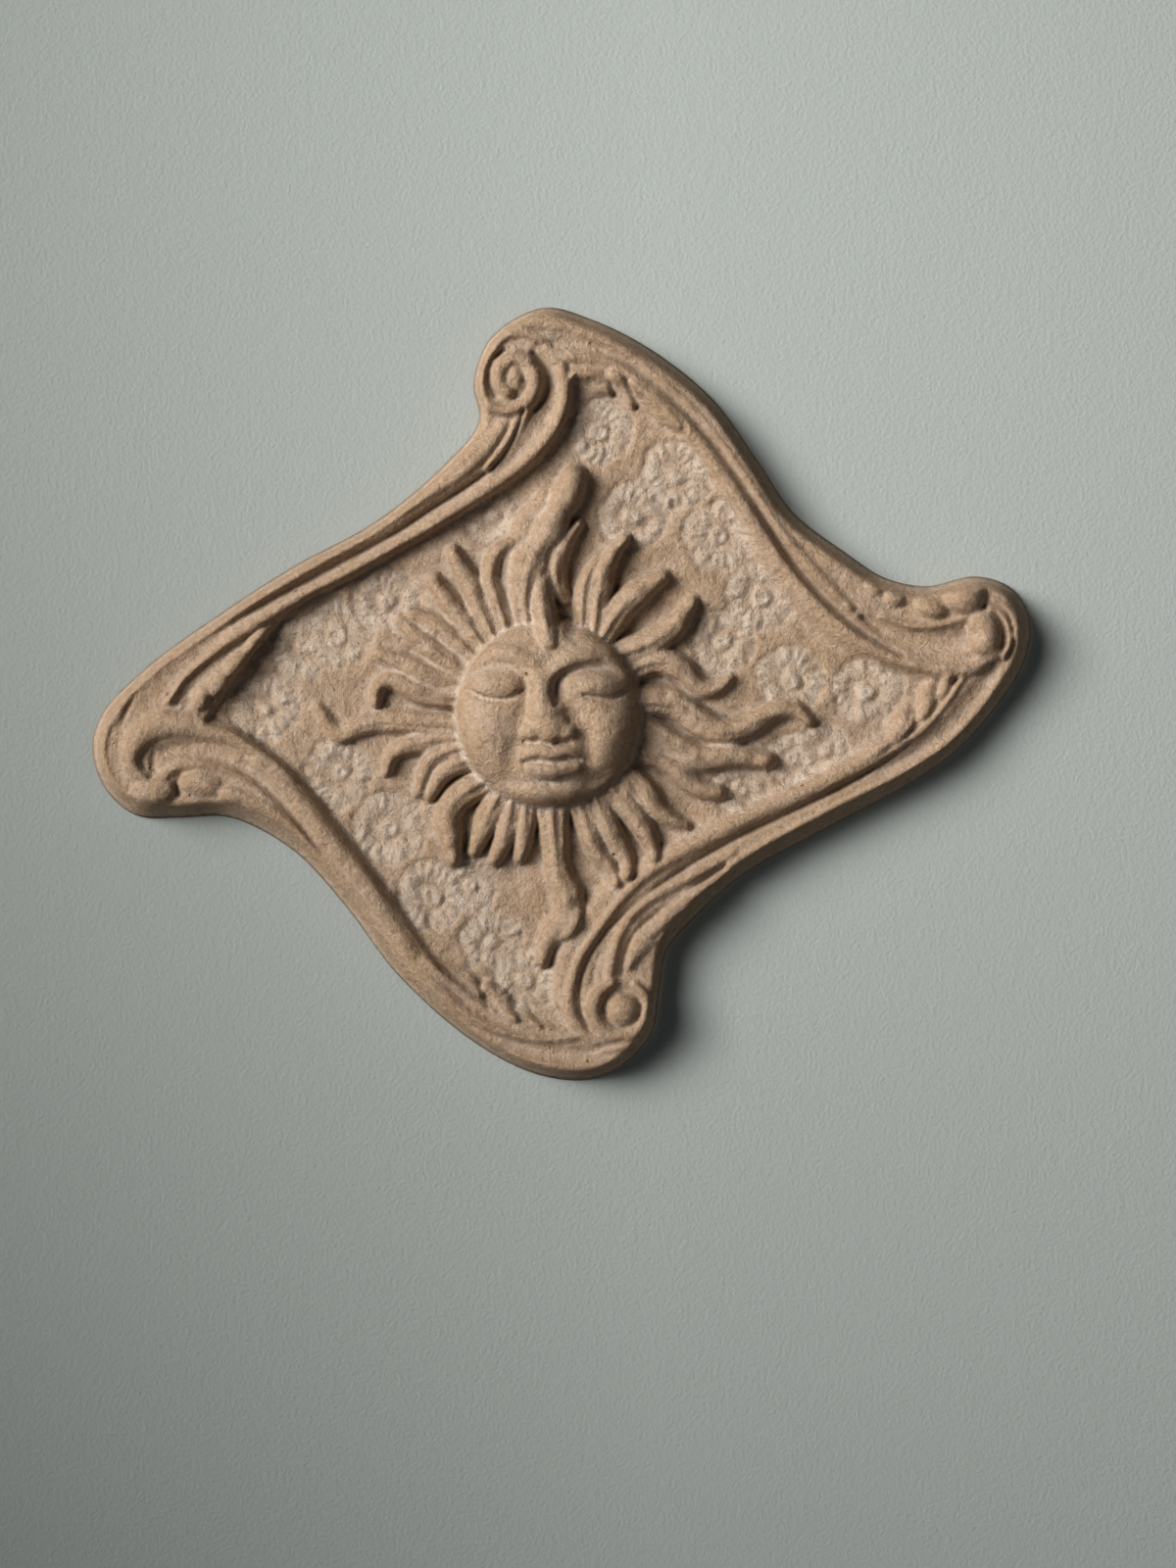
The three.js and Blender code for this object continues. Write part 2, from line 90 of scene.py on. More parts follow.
# Rolls and beads of the border: path, half-widths, rise in millimetres and how full the section is,
# where it isn't FULLNESS. A low number makes steep flanks, a high one a soft swell.
FULLNESS = 0.7
ROLLS = [
    # upper right side: the outer band, and the bead beside the field
    ([(500, 358), (512, 342), (535, 331), (560, 330), (590, 336), (625, 352), (665, 382), (700, 415),
      (735, 455), (770, 505), (805, 553), (845, 598), (868, 620)],
     (6, 7, 7, 6, 6, 6, 6, 6, 7, 4), 2.4, 0.6),
    ([(566, 368), (590, 364), (622, 369), (652, 389), (690, 424), (732, 477), (768, 532), (800, 577),
      (836, 617), (880, 655), (925, 676), (960, 683), (994, 680), (1014, 666)],
     (5, 6, 7, 8, 8, 8, 8, 8, 8, 9, 9), (2.2, 2.2, 2.2, 2.2, 2.6, 3.4, 3.8)),
    # right lobe: ridge over the trough, the two curled ridges and the rim round it
    ([(900, 629), (930, 638), (956, 638), (980, 632), (1002, 622)], (3, 4, 4, 4, 3), 2.8),
    ([(1010, 620), (1022, 626), (1029, 640), (1030, 656), (1024, 670)], (3, 3.5, 3.5, 3.5, 3), 4.2),
    ([(1014, 612), (1027, 619), (1035, 634), (1037, 652)], (3, 3, 3, 2), 3.2),
    ([(990, 597), (1014, 598), (1034, 612), (1043, 640), (1038, 676), (1020, 711), (988, 749),
      (948, 779), (900, 806), (848, 832), (797, 858), (747, 884)],
     (5, 6, 6, 6, 6, 7, 8, 9, 9, 9, 8), 3.0, 0.6),
    # lower right side: the thin bead along the leaves, and the bead beside the field
    ([(982, 692), (968, 714), (946, 740), (914, 764), (878, 784), (840, 803)], (3, 3, 4, 5, 5, 4), 2.4),
    ([(900, 765), (850, 794), (800, 817), (750, 840), (700, 868), (658, 894), (628, 925), (606, 955),
      (592, 977), (584, 1000), (581, 1022), (585, 1040), (597, 1056), (614, 1067), (636, 1070),
      (656, 1060)], (3, 8, 9, 9, 9, 9, 7, 6, 5, 5, 5, 6, 7, 7, 5), 2.8),
    # bottom scroll: the strand that ends in it, its leaves and its ring
    ([(748, 871), (697, 899), (660, 919), (636, 945), (626, 974), (621, 1004)],
     (4, 6, 6, 5, 5), 2.6, 0.6),
    ([(730, 903), (706, 915), (680, 932)], (5, 11, 7), 3.2),
    ([(700, 926), (680, 940), (657, 960), (641, 986)], (6, 12, 13, 5), 3.0, 1.0),
    ([(624, 1003), (611, 1013), (605, 1030), (611, 1048), (629, 1059), (649, 1052), (660, 1035),
      (659, 1018), (648, 1005)], (6, 8, 9, 9, 9, 8, 7, 6, 4), 4.4, 0.6),
    # lower left side: the bead beside the field, and the shoulder outside it
    ([(262, 776), (295, 806), (333, 856), (375, 908), (408, 960), (440, 1003), (478, 1036), (520, 1055),
      (560, 1061), (600, 1056)], (6, 9, 11, 11, 11, 10, 7, 5, 4, 3), 2.8, 0.6),
    ([(316, 876), (346, 916), (380, 965), (412, 1008), (452, 1045), (498, 1072), (545, 1086),
      (592, 1090), (632, 1080), (660, 1054)], (4, 6, 7, 7, 7, 7, 7, 7, 6, 4), 2.4),
    # left lobe: the roll that turns round the hook, the moulding below the trough, and the rim
    ([(300, 796), (275, 775), (248, 757), (214, 744), (180, 738), (154, 743), (138, 757), (132, 774),
      (138, 789), (146, 794)], (4, 6, 8, 10, 12, 14, 15, 14, 10, 7),
     (1.2, 1.8, 2.4, 3.2, 4.2, 5.0, 5.2, 5.0, 4.4, 3.8), 0.6),
    ([(163, 796), (172, 787), (188, 781), (210, 780), (238, 788), (268, 809), (298, 840), (330, 882)],
     (6, 5, 4, 4, 4, 4, 3), 2.4, 0.6),
    ([(112, 730), (104, 752), (104, 778), (114, 800), (134, 813), (158, 818)], (6, 6, 6, 6, 6, 4), 1.8),
    # upper left side: the bead beside the field, and the outer ridge
    ([(573, 376), (577, 400), (571, 425), (555, 450), (530, 475), (495, 501), (450, 531), (400, 561),
      (350, 588), (300, 612), (250, 643), (215, 668), (186, 694), (172, 716)],
     (6, 7, 7, 7, 7, 7, 7, 7, 7, 6, 4, 3), 3.6, 0.5),
    ([(512, 436), (494, 462), (466, 486), (426, 511), (386, 537), (342, 563), (297, 589), (250, 617),
      (206, 645), (164, 676), (134, 706), (116, 736)], (6, 6, 6, 6, 6, 6, 6, 6, 6, 5, 4),
     (2.6, 2.6, 2.6, 2.6, 2.6, 2.2, 1.2), 0.6),
    # top scroll: the strand that climbs to it, and its outer coil
    ([(497, 478), (516, 455), (529, 432), (541, 408), (549, 388)], (4, 6, 7, 6, 4), 3.2, 0.6),
    ([(560, 352), (545, 343), (525, 339), (507, 345), (493, 361), (488, 384), (491, 404), (499, 416)],
     (3, 5, 6, 7, 7, 7, 7, 6), 2.4, 0.6),
    ([(497, 414), (517, 418), (537, 410), (546, 390), (540, 371), (525, 365), (511, 375), (510, 391),
      (518, 400)], (6, 7, 8, 8, 8, 8, 8, 8, 7), 4.8, 0.6),
]

# Cuts and channels of the border: path, half-widths, depth and how full the section is.
CUTS = [
    ([(612, 360), (640, 371), (665, 387), (690, 408), (720, 440), (745, 472), (768, 508), (790, 545),
      (815, 582), (850, 620), (885, 648), (922, 669)], (2, 3, 4.5, 4.5, 4.5, 4.5, 4.5, 4, 3),
     (2, 3, 4.4, 4.4, 4.4, 4, 3.4, 2.4), 0.6),
    ([(548, 352), (575, 350), (610, 356), (645, 370), (676, 394)], (4, 8, 8, 6, 3), 1.6, 1.2),
    ([(545, 372), (560, 375), (562, 400), (552, 432), (530, 462), (505, 486)],
     (5, 6, 8, 9, 8, 4), 1.4, 1.0),
    ([(534, 418), (529, 435), (519, 456), (500, 479), (470, 501), (440, 520), (400, 546), (350, 573),
      (300, 600), (250, 628), (215, 652), (185, 677)], (2, 3, 4, 4, 4, 4, 4, 4, 3, 2),
     (3, 3.8, 3.8, 3.6, 2.8, 1.6, 0.6)),
    ([(222, 652), (185, 682), (156, 712)], (4, 9, 13), 0.9, 1.1),
    ([(136, 710), (128, 727), (122, 744)], (2, 3, 1.5), 0.9, 0.9),
    # top scroll's rings
    ([(544, 360), (556, 373), (560, 389), (556, 406), (546, 419)], (3, 5, 6, 6, 3), 3.4, 0.8),
    ([(514, 357), (504, 366), (499, 378), (499, 392), (505, 404)], (3, 4, 5, 5, 3), 2.4, 0.8),
    ([(529, 376), (534, 384), (532, 393)], (1.5, 2, 1.5), 2.2),
    # right lobe
    ([(880, 630), (910, 648), (940, 656), (968, 656), (994, 648)], (4, 10, 14, 16, 12), 3.2, 1.2),
    ([(1012, 684), (996, 712), (966, 744), (932, 768), (896, 787)], (9, 14, 12, 8, 4), 2.4, 1.1),
    ([(1000, 608), (1004, 620), (998, 628)], (3, 4, 3), 1.0, 0.8),
    # lower right side
    ([(932, 756), (895, 783), (850, 808), (800, 832), (750, 856), (700, 885), (662, 912), (629, 940),
      (607, 968), (594, 996), (591, 1022), (595, 1040), (608, 1053)],
     (1, 2.5, 3.5, 3.5, 3.5, 3.5, 3.5, 3, 2.5, 2.5, 2, 2), (2.6, 3.6, 3.8, 3.8, 3.4, 2.6, 1.8, 1.4)),
    ([(640, 940), (618, 962), (608, 985), (605, 1004)], (2, 6, 7, 4), 1.0, 1.0),
    ([(742, 882), (708, 905), (673, 930), (650, 950), (638, 972), (634, 994)],
     (1.5, 2.5, 3, 3, 3, 3), 2.2, 0.8),
    ([(716, 922), (690, 938), (668, 958)], (1.5, 2.5, 2), 1.6, 0.8),
    # bottom edge
    ([(330, 866), (366, 912), (404, 968), (440, 1014), (478, 1044), (520, 1064), (560, 1073),
      (600, 1072), (636, 1062)], (1, 3, 4, 4, 4, 5, 7, 6, 3), 1.8, 1.0),
    # left lobe
    ([(160, 764), (156, 776), (158, 786)], (4, 5, 4), 1.8, 0.8),
    ([(166, 766), (192, 763), (222, 770), (255, 790), (290, 824), (322, 864)], (7, 11, 11, 9, 7, 4),
     (2.6, 2.8, 2.6, 2.0, 1.0, 0.4), 1.0),
    ([(183, 792), (180, 802), (182, 812)], (2, 4, 3), 2.0, 0.9),
    ([(196, 700), (182, 716), (172, 730)], (1.5, 2, 1.5), 1.1),
    ([(204, 704), (190, 719), (180, 731)], (1.5, 2, 1.5), 1.1),
]

# Knobs and buds on the border: centre, half-width, half-height, turn in degrees, rise.
KNOBS = [
    ((527, 385), 13, 14, 0, 4.2),
    ((636, 1031), 17, 17, 0, 6.6),
    ((155, 808), 24, 15, -8, 4.6),
    ((1004, 647), 18, 26, -4, 8.2),
    ((985, 609), 21, 19, 0, 7.6),
    ((950, 621), 17, 10, 14, 4.6),
    ((913, 611), 11, 8, 14, 3.8),
    ((892, 600), 9, 6, 30, 2.6),
    ((204, 799), 24, 14, 8, 3.6, 0.7),
    ((235, 812), 15, 10, 24, 3.2, 0.7),
    # leaves at the right corner of the field
    ((920, 737), 13, 28, 30, 6.8, 0.7),
    ((945, 713), 11, 25, 20, 6.6, 0.7),
    ((963, 700), 7, 18, 30, 5.2, 0.7),
    ((896, 764), 9, 20, 50, 4.4, 0.7),
    # leaf on the bead at the left
    ((205, 712), 10, 15, 24, 5.2),
    ((222, 697), 11, 17, 36, 5.6),
    ((240, 677), 10, 19, 42, 5.6),
    ((260, 655), 7, 20, 42, 4.8),
]

# Leaves over the border and the field's corners, and the cuts that part them.
LEAVES = [
    ([(586, 384), (604, 388), (622, 396)], (9, 15, 8), 3.4, 0.8),
    ([(626, 384), (638, 396), (646, 413)], (8, 11, 5), 4.2),
    ([(648, 392), (664, 408), (680, 423), (692, 436)], (7, 13, 11, 6), 4.6),
    ([(432, 980), (452, 990), (472, 1000), (490, 1012)], (4, 12, 13, 6), 3.6, 0.8),
    ([(496, 1006), (510, 1018), (526, 1040)], (5, 10, 4), 4.0),
    ([(518, 1024), (534, 1036), (552, 1048)], (3, 7, 2), 2.6, 0.8),
    ([(514, 432), (494, 456), (462, 478), (440, 490)], (6, 9, 7, 3), 2.2, 0.6),
    ([(470, 458), (452, 476), (430, 492)], (4, 7, 3), 1.6),
    ([(244, 812), (262, 820), (284, 834), (304, 853), (318, 868)], (6, 9, 9, 8, 4), 3.4),
    ([(960, 690), (948, 692), (936, 690)], (3, 6, 3), 2.0, 0.8),
]
LEAF_CUTS = [
    ([(622, 390), (627, 405)], (2, 2.5), 2.2, 0.8),
    ([(599, 389), (603, 397)], (1.2, 1.2), 1.4),
    ([(638, 386), (644, 400), (649, 416)], (2, 3.5, 3), 2.4, 0.8),
    ([(655, 404), (664, 417)], (1.5, 1.5), 1.4),
    ([(672, 416), (682, 430)], (1.5, 1.5), 1.4),
    ([(686, 436), (692, 441)], (4, 4), 2.0, 0.9),
    ([(930, 716), (926, 738), (912, 756)], (1, 1.8, 1), 1.4),
    ([(488, 1004), (494, 1018), (500, 1032)], (2, 3, 2), 1.4, 0.8),
    ([(520, 1020), (528, 1034)], (2, 1.5), 1.4, 0.8),
    ([(530, 1036), (546, 1048)], (1.5, 2), 1.4, 0.8),
]

# Rays, long and short: the path from under the face to the tip, half-widths and rises over the field.
RAYS = [
    ([(540, 650), (535, 605), (542, 572), (561, 540), (576, 508), (590, 477)],
     (15, 16, 17, 21, 23, 17, 21, 15, 18, 15), (9, 11, 12, 13, 11, 13, 11, 12)),
    ([(522, 640), (521, 600), (528, 565), (545, 530), (566, 496)], (8, 12, 18, 20, 12), (6, 7, 7, 5)),
    ([(560, 652), (557, 636), (552, 616), (553, 596), (562, 580)], (11, 14, 15, 13, 8),
     (22, 20, 16, 12, 8)),
    ([(640, 715), (687, 718), (712, 736), (738, 747), (765, 740), (790, 726), (812, 725), (830, 740)],
     (17, 17, 16, 14, 11, 7), (10, 10, 6)),
    ([(562, 800), (565, 850), (569, 888), (579, 915), (577, 940), (560, 957), (552, 986)],
     (22, 17, 13, 17, 15, 8), (9, 9, 8, 6)),
    ([(480, 743), (420, 737), (385, 736), (363, 743), (345, 749), (336, 740), (320, 716)],
     (15, 14, 13, 12, 10, 6), (9, 8, 6, 3)),
    ([(520, 650), (508, 615), (500, 588), (505, 566), (522, 553), (542, 548)], (11, 12, 12, 11, 9, 6),
     (9, 10, 9, 7)),
    ([(576, 612), (568, 594), (568, 572), (577, 553), (593, 532)], (7, 12, 13, 9, 5), (5, 9, 9, 7)),
    ([(606, 645), (610, 608), (617, 580), (627, 562), (642, 547)], (13, 15, 14, 10, 5), (9, 10, 8)),
    ([(594, 640), (595, 605), (601, 584), (612, 568)], (9, 10, 9, 5), (8, 9, 7)),
    ([(610, 655), (632, 622), (655, 602), (682, 585)], (15, 16, 15, 8), (9, 10, 8)),
    ([(628, 668), (664, 655), (690, 636), (710, 608)], (14, 15, 14, 7), (9, 10, 7)),
    ([(636, 686), (672, 674), (695, 683), (714, 702), (730, 703), (750, 688)], (14, 15, 14, 12, 10, 5),
     (8, 9, 5)),
    ([(640, 734), (689, 762), (715, 775), (743, 771), (790, 777)], (16, 16, 15, 14, 9), (9, 10, 6)),
    ([(636, 762), (678, 774), (700, 795), (717, 806), (739, 810)], (14, 15, 14, 12, 8), (8, 9, 6)),
    ([(628, 784), (656, 806), (672, 827), (689, 838), (704, 844)], (14, 15, 13, 10, 6), (8, 9, 5)),
    ([(612, 790), (636, 818), (650, 836), (661, 855), (668, 879)], (13, 15, 14, 12, 7), (8, 9, 6)),
    ([(602, 800), (618, 838), (630, 862), (639, 878), (639, 898)], (13, 14, 13, 11, 7), (8, 9, 6)),
    ([(588, 808), (600, 845), (609, 869), (622, 884), (629, 905)], (13, 13, 12, 10, 6), (8, 9, 5)),
    ([(537, 810), (534, 852), (529, 881)], (12, 13, 7), (8, 9, 6)),
    ([(524, 808), (515, 853), (501, 884)], (12, 14, 7), (8, 9, 6)),
    ([(514, 800), (496, 838), (482, 873)], (12, 15, 7), (8, 9, 6)),
    ([(506, 792), (470, 812), (457, 830), (459, 853), (464, 883)], (15, 16, 15, 14, 8), (9, 10, 8)),
    ([(492, 772), (455, 785), (436, 816)], (12, 13, 7), (8, 9, 6)),
    ([(486, 758), (440, 776), (425, 814)], (11, 12, 6), (8, 9, 5)),
    ([(482, 752), (420, 760), (400, 770), (393, 793)], (11, 12, 11, 5), (8, 8, 5)),
    ([(484, 714), (430, 708), (400, 694), (386, 700), (382, 724)], (12, 12, 12, 10, 6), (8, 9, 6)),
    ([(480, 700), (443, 691), (412, 677), (378, 664)], (11, 13, 12, 7), (8, 9, 5)),
    ([(480, 688), (450, 669), (427, 651), (404, 629)], (11, 13, 13, 8), (8, 9, 6)),
    ([(488, 674), (465, 653), (441, 636), (414, 623)], (11, 13, 12, 8), (9, 9, 6)),
    ([(496, 662), (476, 637), (454, 611), (437, 585)], (10, 12, 12, 9), (9, 9, 7)),
    ([(506, 654), (491, 625), (480, 597), (468, 577), (459, 556)], (10, 12, 13, 12, 9), (9, 10, 8)),
]
RAY_FULLNESS = 0.55
RAY_GROOVES = (-0.3, 0.36)  # where two flutes run along a ray, as shares of its half-width
RAY_GROOVE_DEPTH = 1.6
RAY_GROOVE_WIDTH = 0.25
RAY_GROOVE_FADE = (1.15, 1.5)  # depth at the foot, and how much of it is lost towards the tip
RAY_EDGE = 0.5  # unevenness starts at this rise
RAY_TRIM = 0.75  # the rounded tip stops this share of its half-width short of the path's end

# The face: its middle, half-width and half-height, and how boxy its dome is.
FACE_CENTRE = np.array([560.0, 729.0])
FACE_HALF = (97.0, 98.5)
FACE_DOME = (2.6, 0.38)
# Soft swells and hollows of the face: centre, half-widths, turn in degrees, rise.
FACE_SWELLS = [
    ((516, 652), (30, 18), -25, 1.2), ((600, 652), (34, 18), 25, 1.2),  # forehead, either side of the lock
    ((538, 704), (8, 10), 0, -2.8), ((573, 704), (8, 14), 6, -2.6),  # beside the bridge of the nose
    ((534, 726), (8, 16), 10, -1.4), ((588, 722), (8, 15), -16, -1.6),
    ((503, 697), (25, 11), 4, 4.6), ((610, 699), (27, 11), 0, 4.8),  # lids
    ((470, 704), (9, 14), 0, -1.2), ((648, 704), (8, 14), 0, -1.2),
    ((494, 748), (30, 34), 0, 4.4), ((624, 745), (28, 36), 0, 4.8),  # cheeks
    ((564, 771), (30, 19), 0, 3.8), ((556, 812), (36, 13), 0, 4.0),  # mouth and chin
    ((524, 768), (10, 22), 10, -2.2), ((600, 762), (8, 22), -4, -3.0),  # folds beside the mouth
    ((520, 796), (13, 8), 30, -1.6), ((610, 794), (14, 8), -30, -2.2),
    ((564, 799), (22, 4), 0, -2.4),
]
# Domed forms of the face: centre, half-width, half-height, turn, rise and how full the section is.
FACE_KNOBS = [
    ((561, 740), 21, 18, 0, 6.4, 0.8),
    ((542, 747), 12, 11, 0, 4.2, 0.8),
    ((577, 746), 13, 11, 0, 4.6, 0.8),
]
# Ridges of the face: path, half-widths, rise and how full the section is.
FACE_RIDGES = [
    ([(550, 676), (551, 691), (552, 707), (557, 727)], (18, 15, 15, 22), (1.0, 3.6, 5.2, 6.4), 1.2),
    ([(544, 676), (522, 666), (500, 666), (480, 680)], (9, 11, 11, 8), (2.4, 3.2, 3.0, 1.4), 1.2),
    ([(560, 687), (574, 677), (594, 669), (618, 668), (640, 682)], (9, 10, 10, 10, 7),
     (2.6, 3.4, 3.4, 2.8, 1.2), 1.1),
    ([(555, 632), (558, 646), (560, 655)], (13, 12, 9), (4.4, 4.8, 3.4)),
    ([(533, 773), (548, 767), (563, 769), (577, 766), (592, 772)], (5, 8, 9, 8, 4),
     (0.8, 1.8, 2.4, 1.8, 0.8), 1.1),
    ([(542, 785), (563, 788), (588, 784)], (7, 10, 7), (2.4, 4.0, 2.4), 0.9),
]
# Cuts of the face: path, half-widths, depth and how full the section is.
FACE_CUTS = [
    ([(478, 704), (490, 711), (504, 714), (519, 713), (532, 705)], (2, 3.5, 4, 4, 3), 2.4, 1.0),
    ([(596, 709), (608, 712), (622, 713), (634, 709), (643, 701)], (2, 3.5, 4, 3.5, 2), 2.4, 1.0),
    ([(484, 688), (502, 681), (520, 682), (534, 692)], (5, 7, 7, 5), (0.7, 1.3, 1.5, 1.1), 1.3),
    ([(568, 718), (566, 705), (570, 693), (583, 685), (600, 681), (618, 683), (632, 690)],
     (4, 5, 6, 6, 6, 5, 4), (2.6, 2.8, 2.8, 2.4, 2.0, 1.4, 0.6), 1.1),
    ([(534, 778), (548, 776), (562, 778), (571, 778), (579, 774), (592, 775)],
     (2.5, 3.5, 4, 4, 3.5, 2.5), 2.6, 0.9),
    ([(536, 756), (547, 757)], (4, 4), 2.2, 0.9),
    ([(568, 758), (580, 757)], (4.5, 4.5), 3.0, 0.9),
    ([(562, 760), (563, 768)], (4, 4), 0.7, 1.0),
    ([(586, 604), (590, 622), (583, 646)], (13, 16, 9), (6.0, 6.0, 3.0), 1.0),
]
FACE_BLEND = 2.0  # millimetres over which the features run together
FACE_FADE = 0.25  # share of the dome over which the soft swells fade in from its foot
FEATURE_FADE = 0.12  # and the ridges and cuts
FACE_UNEVEN = (15, 0.25, 41)

# The crack in a ray: path, half-widths, depth and how full its section is.
CRACK = ([(636, 786), (648, 803), (660, 823)], (1.5, 2, 1.5), 2.0, 0.6)

# Rosettes pressed into the field: centre and petal radius.
ROSETTES = [
    ((613, 441), 33), ((691, 486), 37), ((645, 528), 36), ((735, 549), 38), ((775, 609), 36),
    ((737, 654), 33), ((806, 695), 36), ((884, 703), 36), ((809, 775), 28), ((842, 766), 28),
    ((756, 806), 30), ((344, 647), 37), ((271, 723), 36), ((347, 789), 36), ((398, 845), 38),
    ((394, 612), 34), ((309, 660), 34), ((441, 914), 36), ((503, 960), 33), ((537, 1000), 33),
    ((502, 527), 30), ((480, 905), 28), ((445, 668), 28),
]
PETALS = 16
PETAL_RISE = 2.0
PETAL_REACH = (0.42, 0.97)  # where the petals start and end, as shares of the rosette's radius
PETAL_GAP = 2.0  # how sharply a petal falls off to its sides
PETAL_FULLNESS = 0.6
PETAL_TURN = 0.35  # how much the unevenness turns the petals
DISH_DEPTH = 1.5
BUTTON_SHARE = 0.28
BUTTON_RISE = 1.9
BUTTON_BOXY = 4
DIMPLE_SHARE = 0.5  # of the button
DIMPLE_DEPTH = 1.3
PETAL_LENGTHS = (0.75, 1.10)  # shortest and longest petal, as shares of the full reach
PETAL_HEIGHTS = (0.3, 1.0)  # lowest and highest petal, as shares of PETAL_RISE
PETAL_WORN = 0.35  # the most worn petal is this share of a fresh one
DISH_EDGE = (1.08, 0.94)  # where the dish starts and is full, as shares of the radius
BLOOM_EDGE = (1.12, 0.9)
BLOOM_GROUND = 0.25  # bloom between the petals, as a share of that on them
ROSETTE_REACH = 1.5
SEED_STEP = 7
TURN_STEP = 0.37  # turns one rosette against the next
ROSETTE_WANDER = ((17, 0.12), (7, 0.05))  # size on the sheet and share of the radius by which it is uneven

# Finishes, as linear colours.
CLAY_PINK = (0.485, 0.362, 0.270)
CLAY_OCHRE = (0.470, 0.336, 0.228)
CLAY_RUBBED = (0.420, 0.292, 0.192)
CLAY_BLOOM = (0.640, 0.540, 0.450)
CLAY_DARK = (0.230, 0.155, 0.098)
WALL_COLOUR = (0.385, 0.414, 0.399)
# colour of the wall's painted shade at its left
WALL_SHADE_COLOUR = (0.270, 0.294, 0.280)
WALL_SHADE_FADE = (0.05, -0.32)  # where painted shade starts and ends darkening the wall towards the left, for light falling off
WALL_HALF = 2.5
WALL_GAP = 0.0004
TOUCHING = 0.002  # the wall is left out for light that starts this close behind the plaque

# How the finish is spread: where each effect starts and is full on its pattern or mark, and its strength.
PATCH_RANGE = (0.40, 0.60)
RUBBED_RANGE = (0.52, 0.9)
RUBBED_PATCHES = (0.36, 0.60, 0.1, 1.0)
BLOOM_PATCHES = (0.38, 0.56, 0.3, 1.0)
PALE_SAND = (0.62, 1.0, 0.0, 0.35)
DARK_SAND = (0.40, 0.0, 0.0, 0.4)
DARK_GRAIN = (0.3, 0.0, 0.0, 0.5)
# painted shade, with dirt, darkening the crevices
CREVICE_SHADE_AND_DIRT = (0.0, 0.5, 0.0, 0.6)
# how much darker the pits are painted
PIT_DARKENING = 0.8
ROUGHNESS = (0.3, 0.7, 0.82, 0.98)
CLAY_GLOSS = 0.22
PATCHES = (42.0, 5.0, 0.62)  # scale, detail and roughness of a noise pattern
BLOTCHES = (160.0, 6.0, 0.7)
SAND = {"Size": 0.0021, "Coarse": 0.3}
GRAIN = {"Size": 0.0008, "Coarse": 0.0}
PITS = {"Spacing": 0.0095, "Share": 0.16}
PIT_EDGE = (0.12, 0.05)
FINE_NOISE = (4.0, 0.65)  # detail and roughness
COARSE_NOISE = (3.0, 0.55)
COARSE_SHARE = 0.22  # scale of the coarse grain as a share of the fine one's
SPECKLE_RANGE = (0.35, 0.65)
WALL_GRAIN = {"Size": 0.0018, "Coarse": 0.2}
WALL_ROUGHNESS = 0.8
WALL_BUMP = 0.0005  # metres, as is the next
CLAY_BUMP = 0.0017
# Shares of the patterns in the bumps of the clay.
BLOTCH_BUMP = 1.3
SAND_BUMP = 0.75
GRAIN_BUMP = 0.5
PIT_BUMP = 0.8

# Marks read off the carving: steps of evening out, and gains.
RUBBED_STEPS, RUBBED_GAIN = 6, 0.9
HOLLOW_STEPS, HOLLOW_GAIN = 20, 0.45
CREVICE_STEPS, CREVICE_GAIN, CREVICE_FLOOR = 5, 0.55, 0.1
SUN_EDGE = (0.5, 4.0)  # millimetres over the field at which the sun starts and is full
SUN_STEPS = 4
BLOOM_STEPS = 2
HOLLOW_BLOOM = 0.7
SUN_BLOOM = 2.5  # bloom instead of painted shade and dirt in the crevices by the sun
# share of the painted crevice shade and dirt that is left where the sun stands
SUN_SHADE_AND_DIRT_LEFT = 0.2

# Light and camera, in metres and watts: name, place, aim, size, power, colour and spread.
LIGHTS = [
    ("window", (-1.38, -1.38, 0.66), (0.40, 0, 0.17), (1.25, 1.25), 10.8, (1.0, 0.985, 0.96), 1.0),
    ("fill", (1.5, -1.3, -0.9), (0, 0, 0), (1.6, 1.6), 3.5, (0.96, 0.98, 1.0), math.pi),
    ("behind", (0.6, 1.6, 0.6), (0, 0, 0), (1.2, 1.2), 26, (1, 1, 1), math.pi),
]
ROOM_COLOUR = (0.80, 0.86, 0.90)
ROOM_STRENGTH = 0.030
CAMERA_DISTANCE = 1.1
SENSOR_HEIGHT = 36.0
FOCAL_LENGTH = 55.0

# Mesh fineness and the hand-worked unevenness of the clay.
PITCH = 2.12  # sheet units between mesh points
FINE_REACH = 150.0  # the mesh draws together inside this reach of the face
FINE_SHARE = 0.34
RIM_CLEARANCE = 0.45  # the sheet is cut this share of the pitch inside the outline
RIM_ROUNDS = 12
BESIDE_RIM = 5  # pitches beside the rim that are evened out
BESIDE_ROUNDS = 8
CURVE_STEPS = 14
OUTLINE_STEPS = 24
BLEND = 1.4  # millimetres over which neighbouring forms run together
SUN_BLEND = 0.3
STEP_START = -1.5  # the step to the field starts this far outside its edge
NEARNESS = 3  # how sharply the nearest of several sides or marks wins
SIDE_LEAST, MARK_LEAST = 2, 5  # added to their distances, so that none is nothing
SIDE_ROUNDED = 0.5  # the side's top is rounded from this far inside the outline
OVER_FIELD = 1.0  # what stands this high over the field hides its rosettes and bloom
UNEVEN = ((46, 0.40, 3), (17, 0.32, 5), (8, 0.22, 8))  # size on the sheet, height, seed
FIELD_UNEVEN = ((26, 0.6, 11), (13, 0.35, 13), (7, 0.2, 17))
LATTICE = 220  # random values each way behind the unevenness
WEAR = 1  # how many times the carving is evened out, as handling and weather wear it
WEAR_EDGE = (2.0, 8.0)  # where the wear starts and is full, from the outline inwards
EVENING = 0.6  # share of its neighbours' mean that a value takes in one step of evening out
PETAL_UNEVEN = (6.5, 0.3, 19)
RAY_UNEVEN = (10, 0.7, 23)


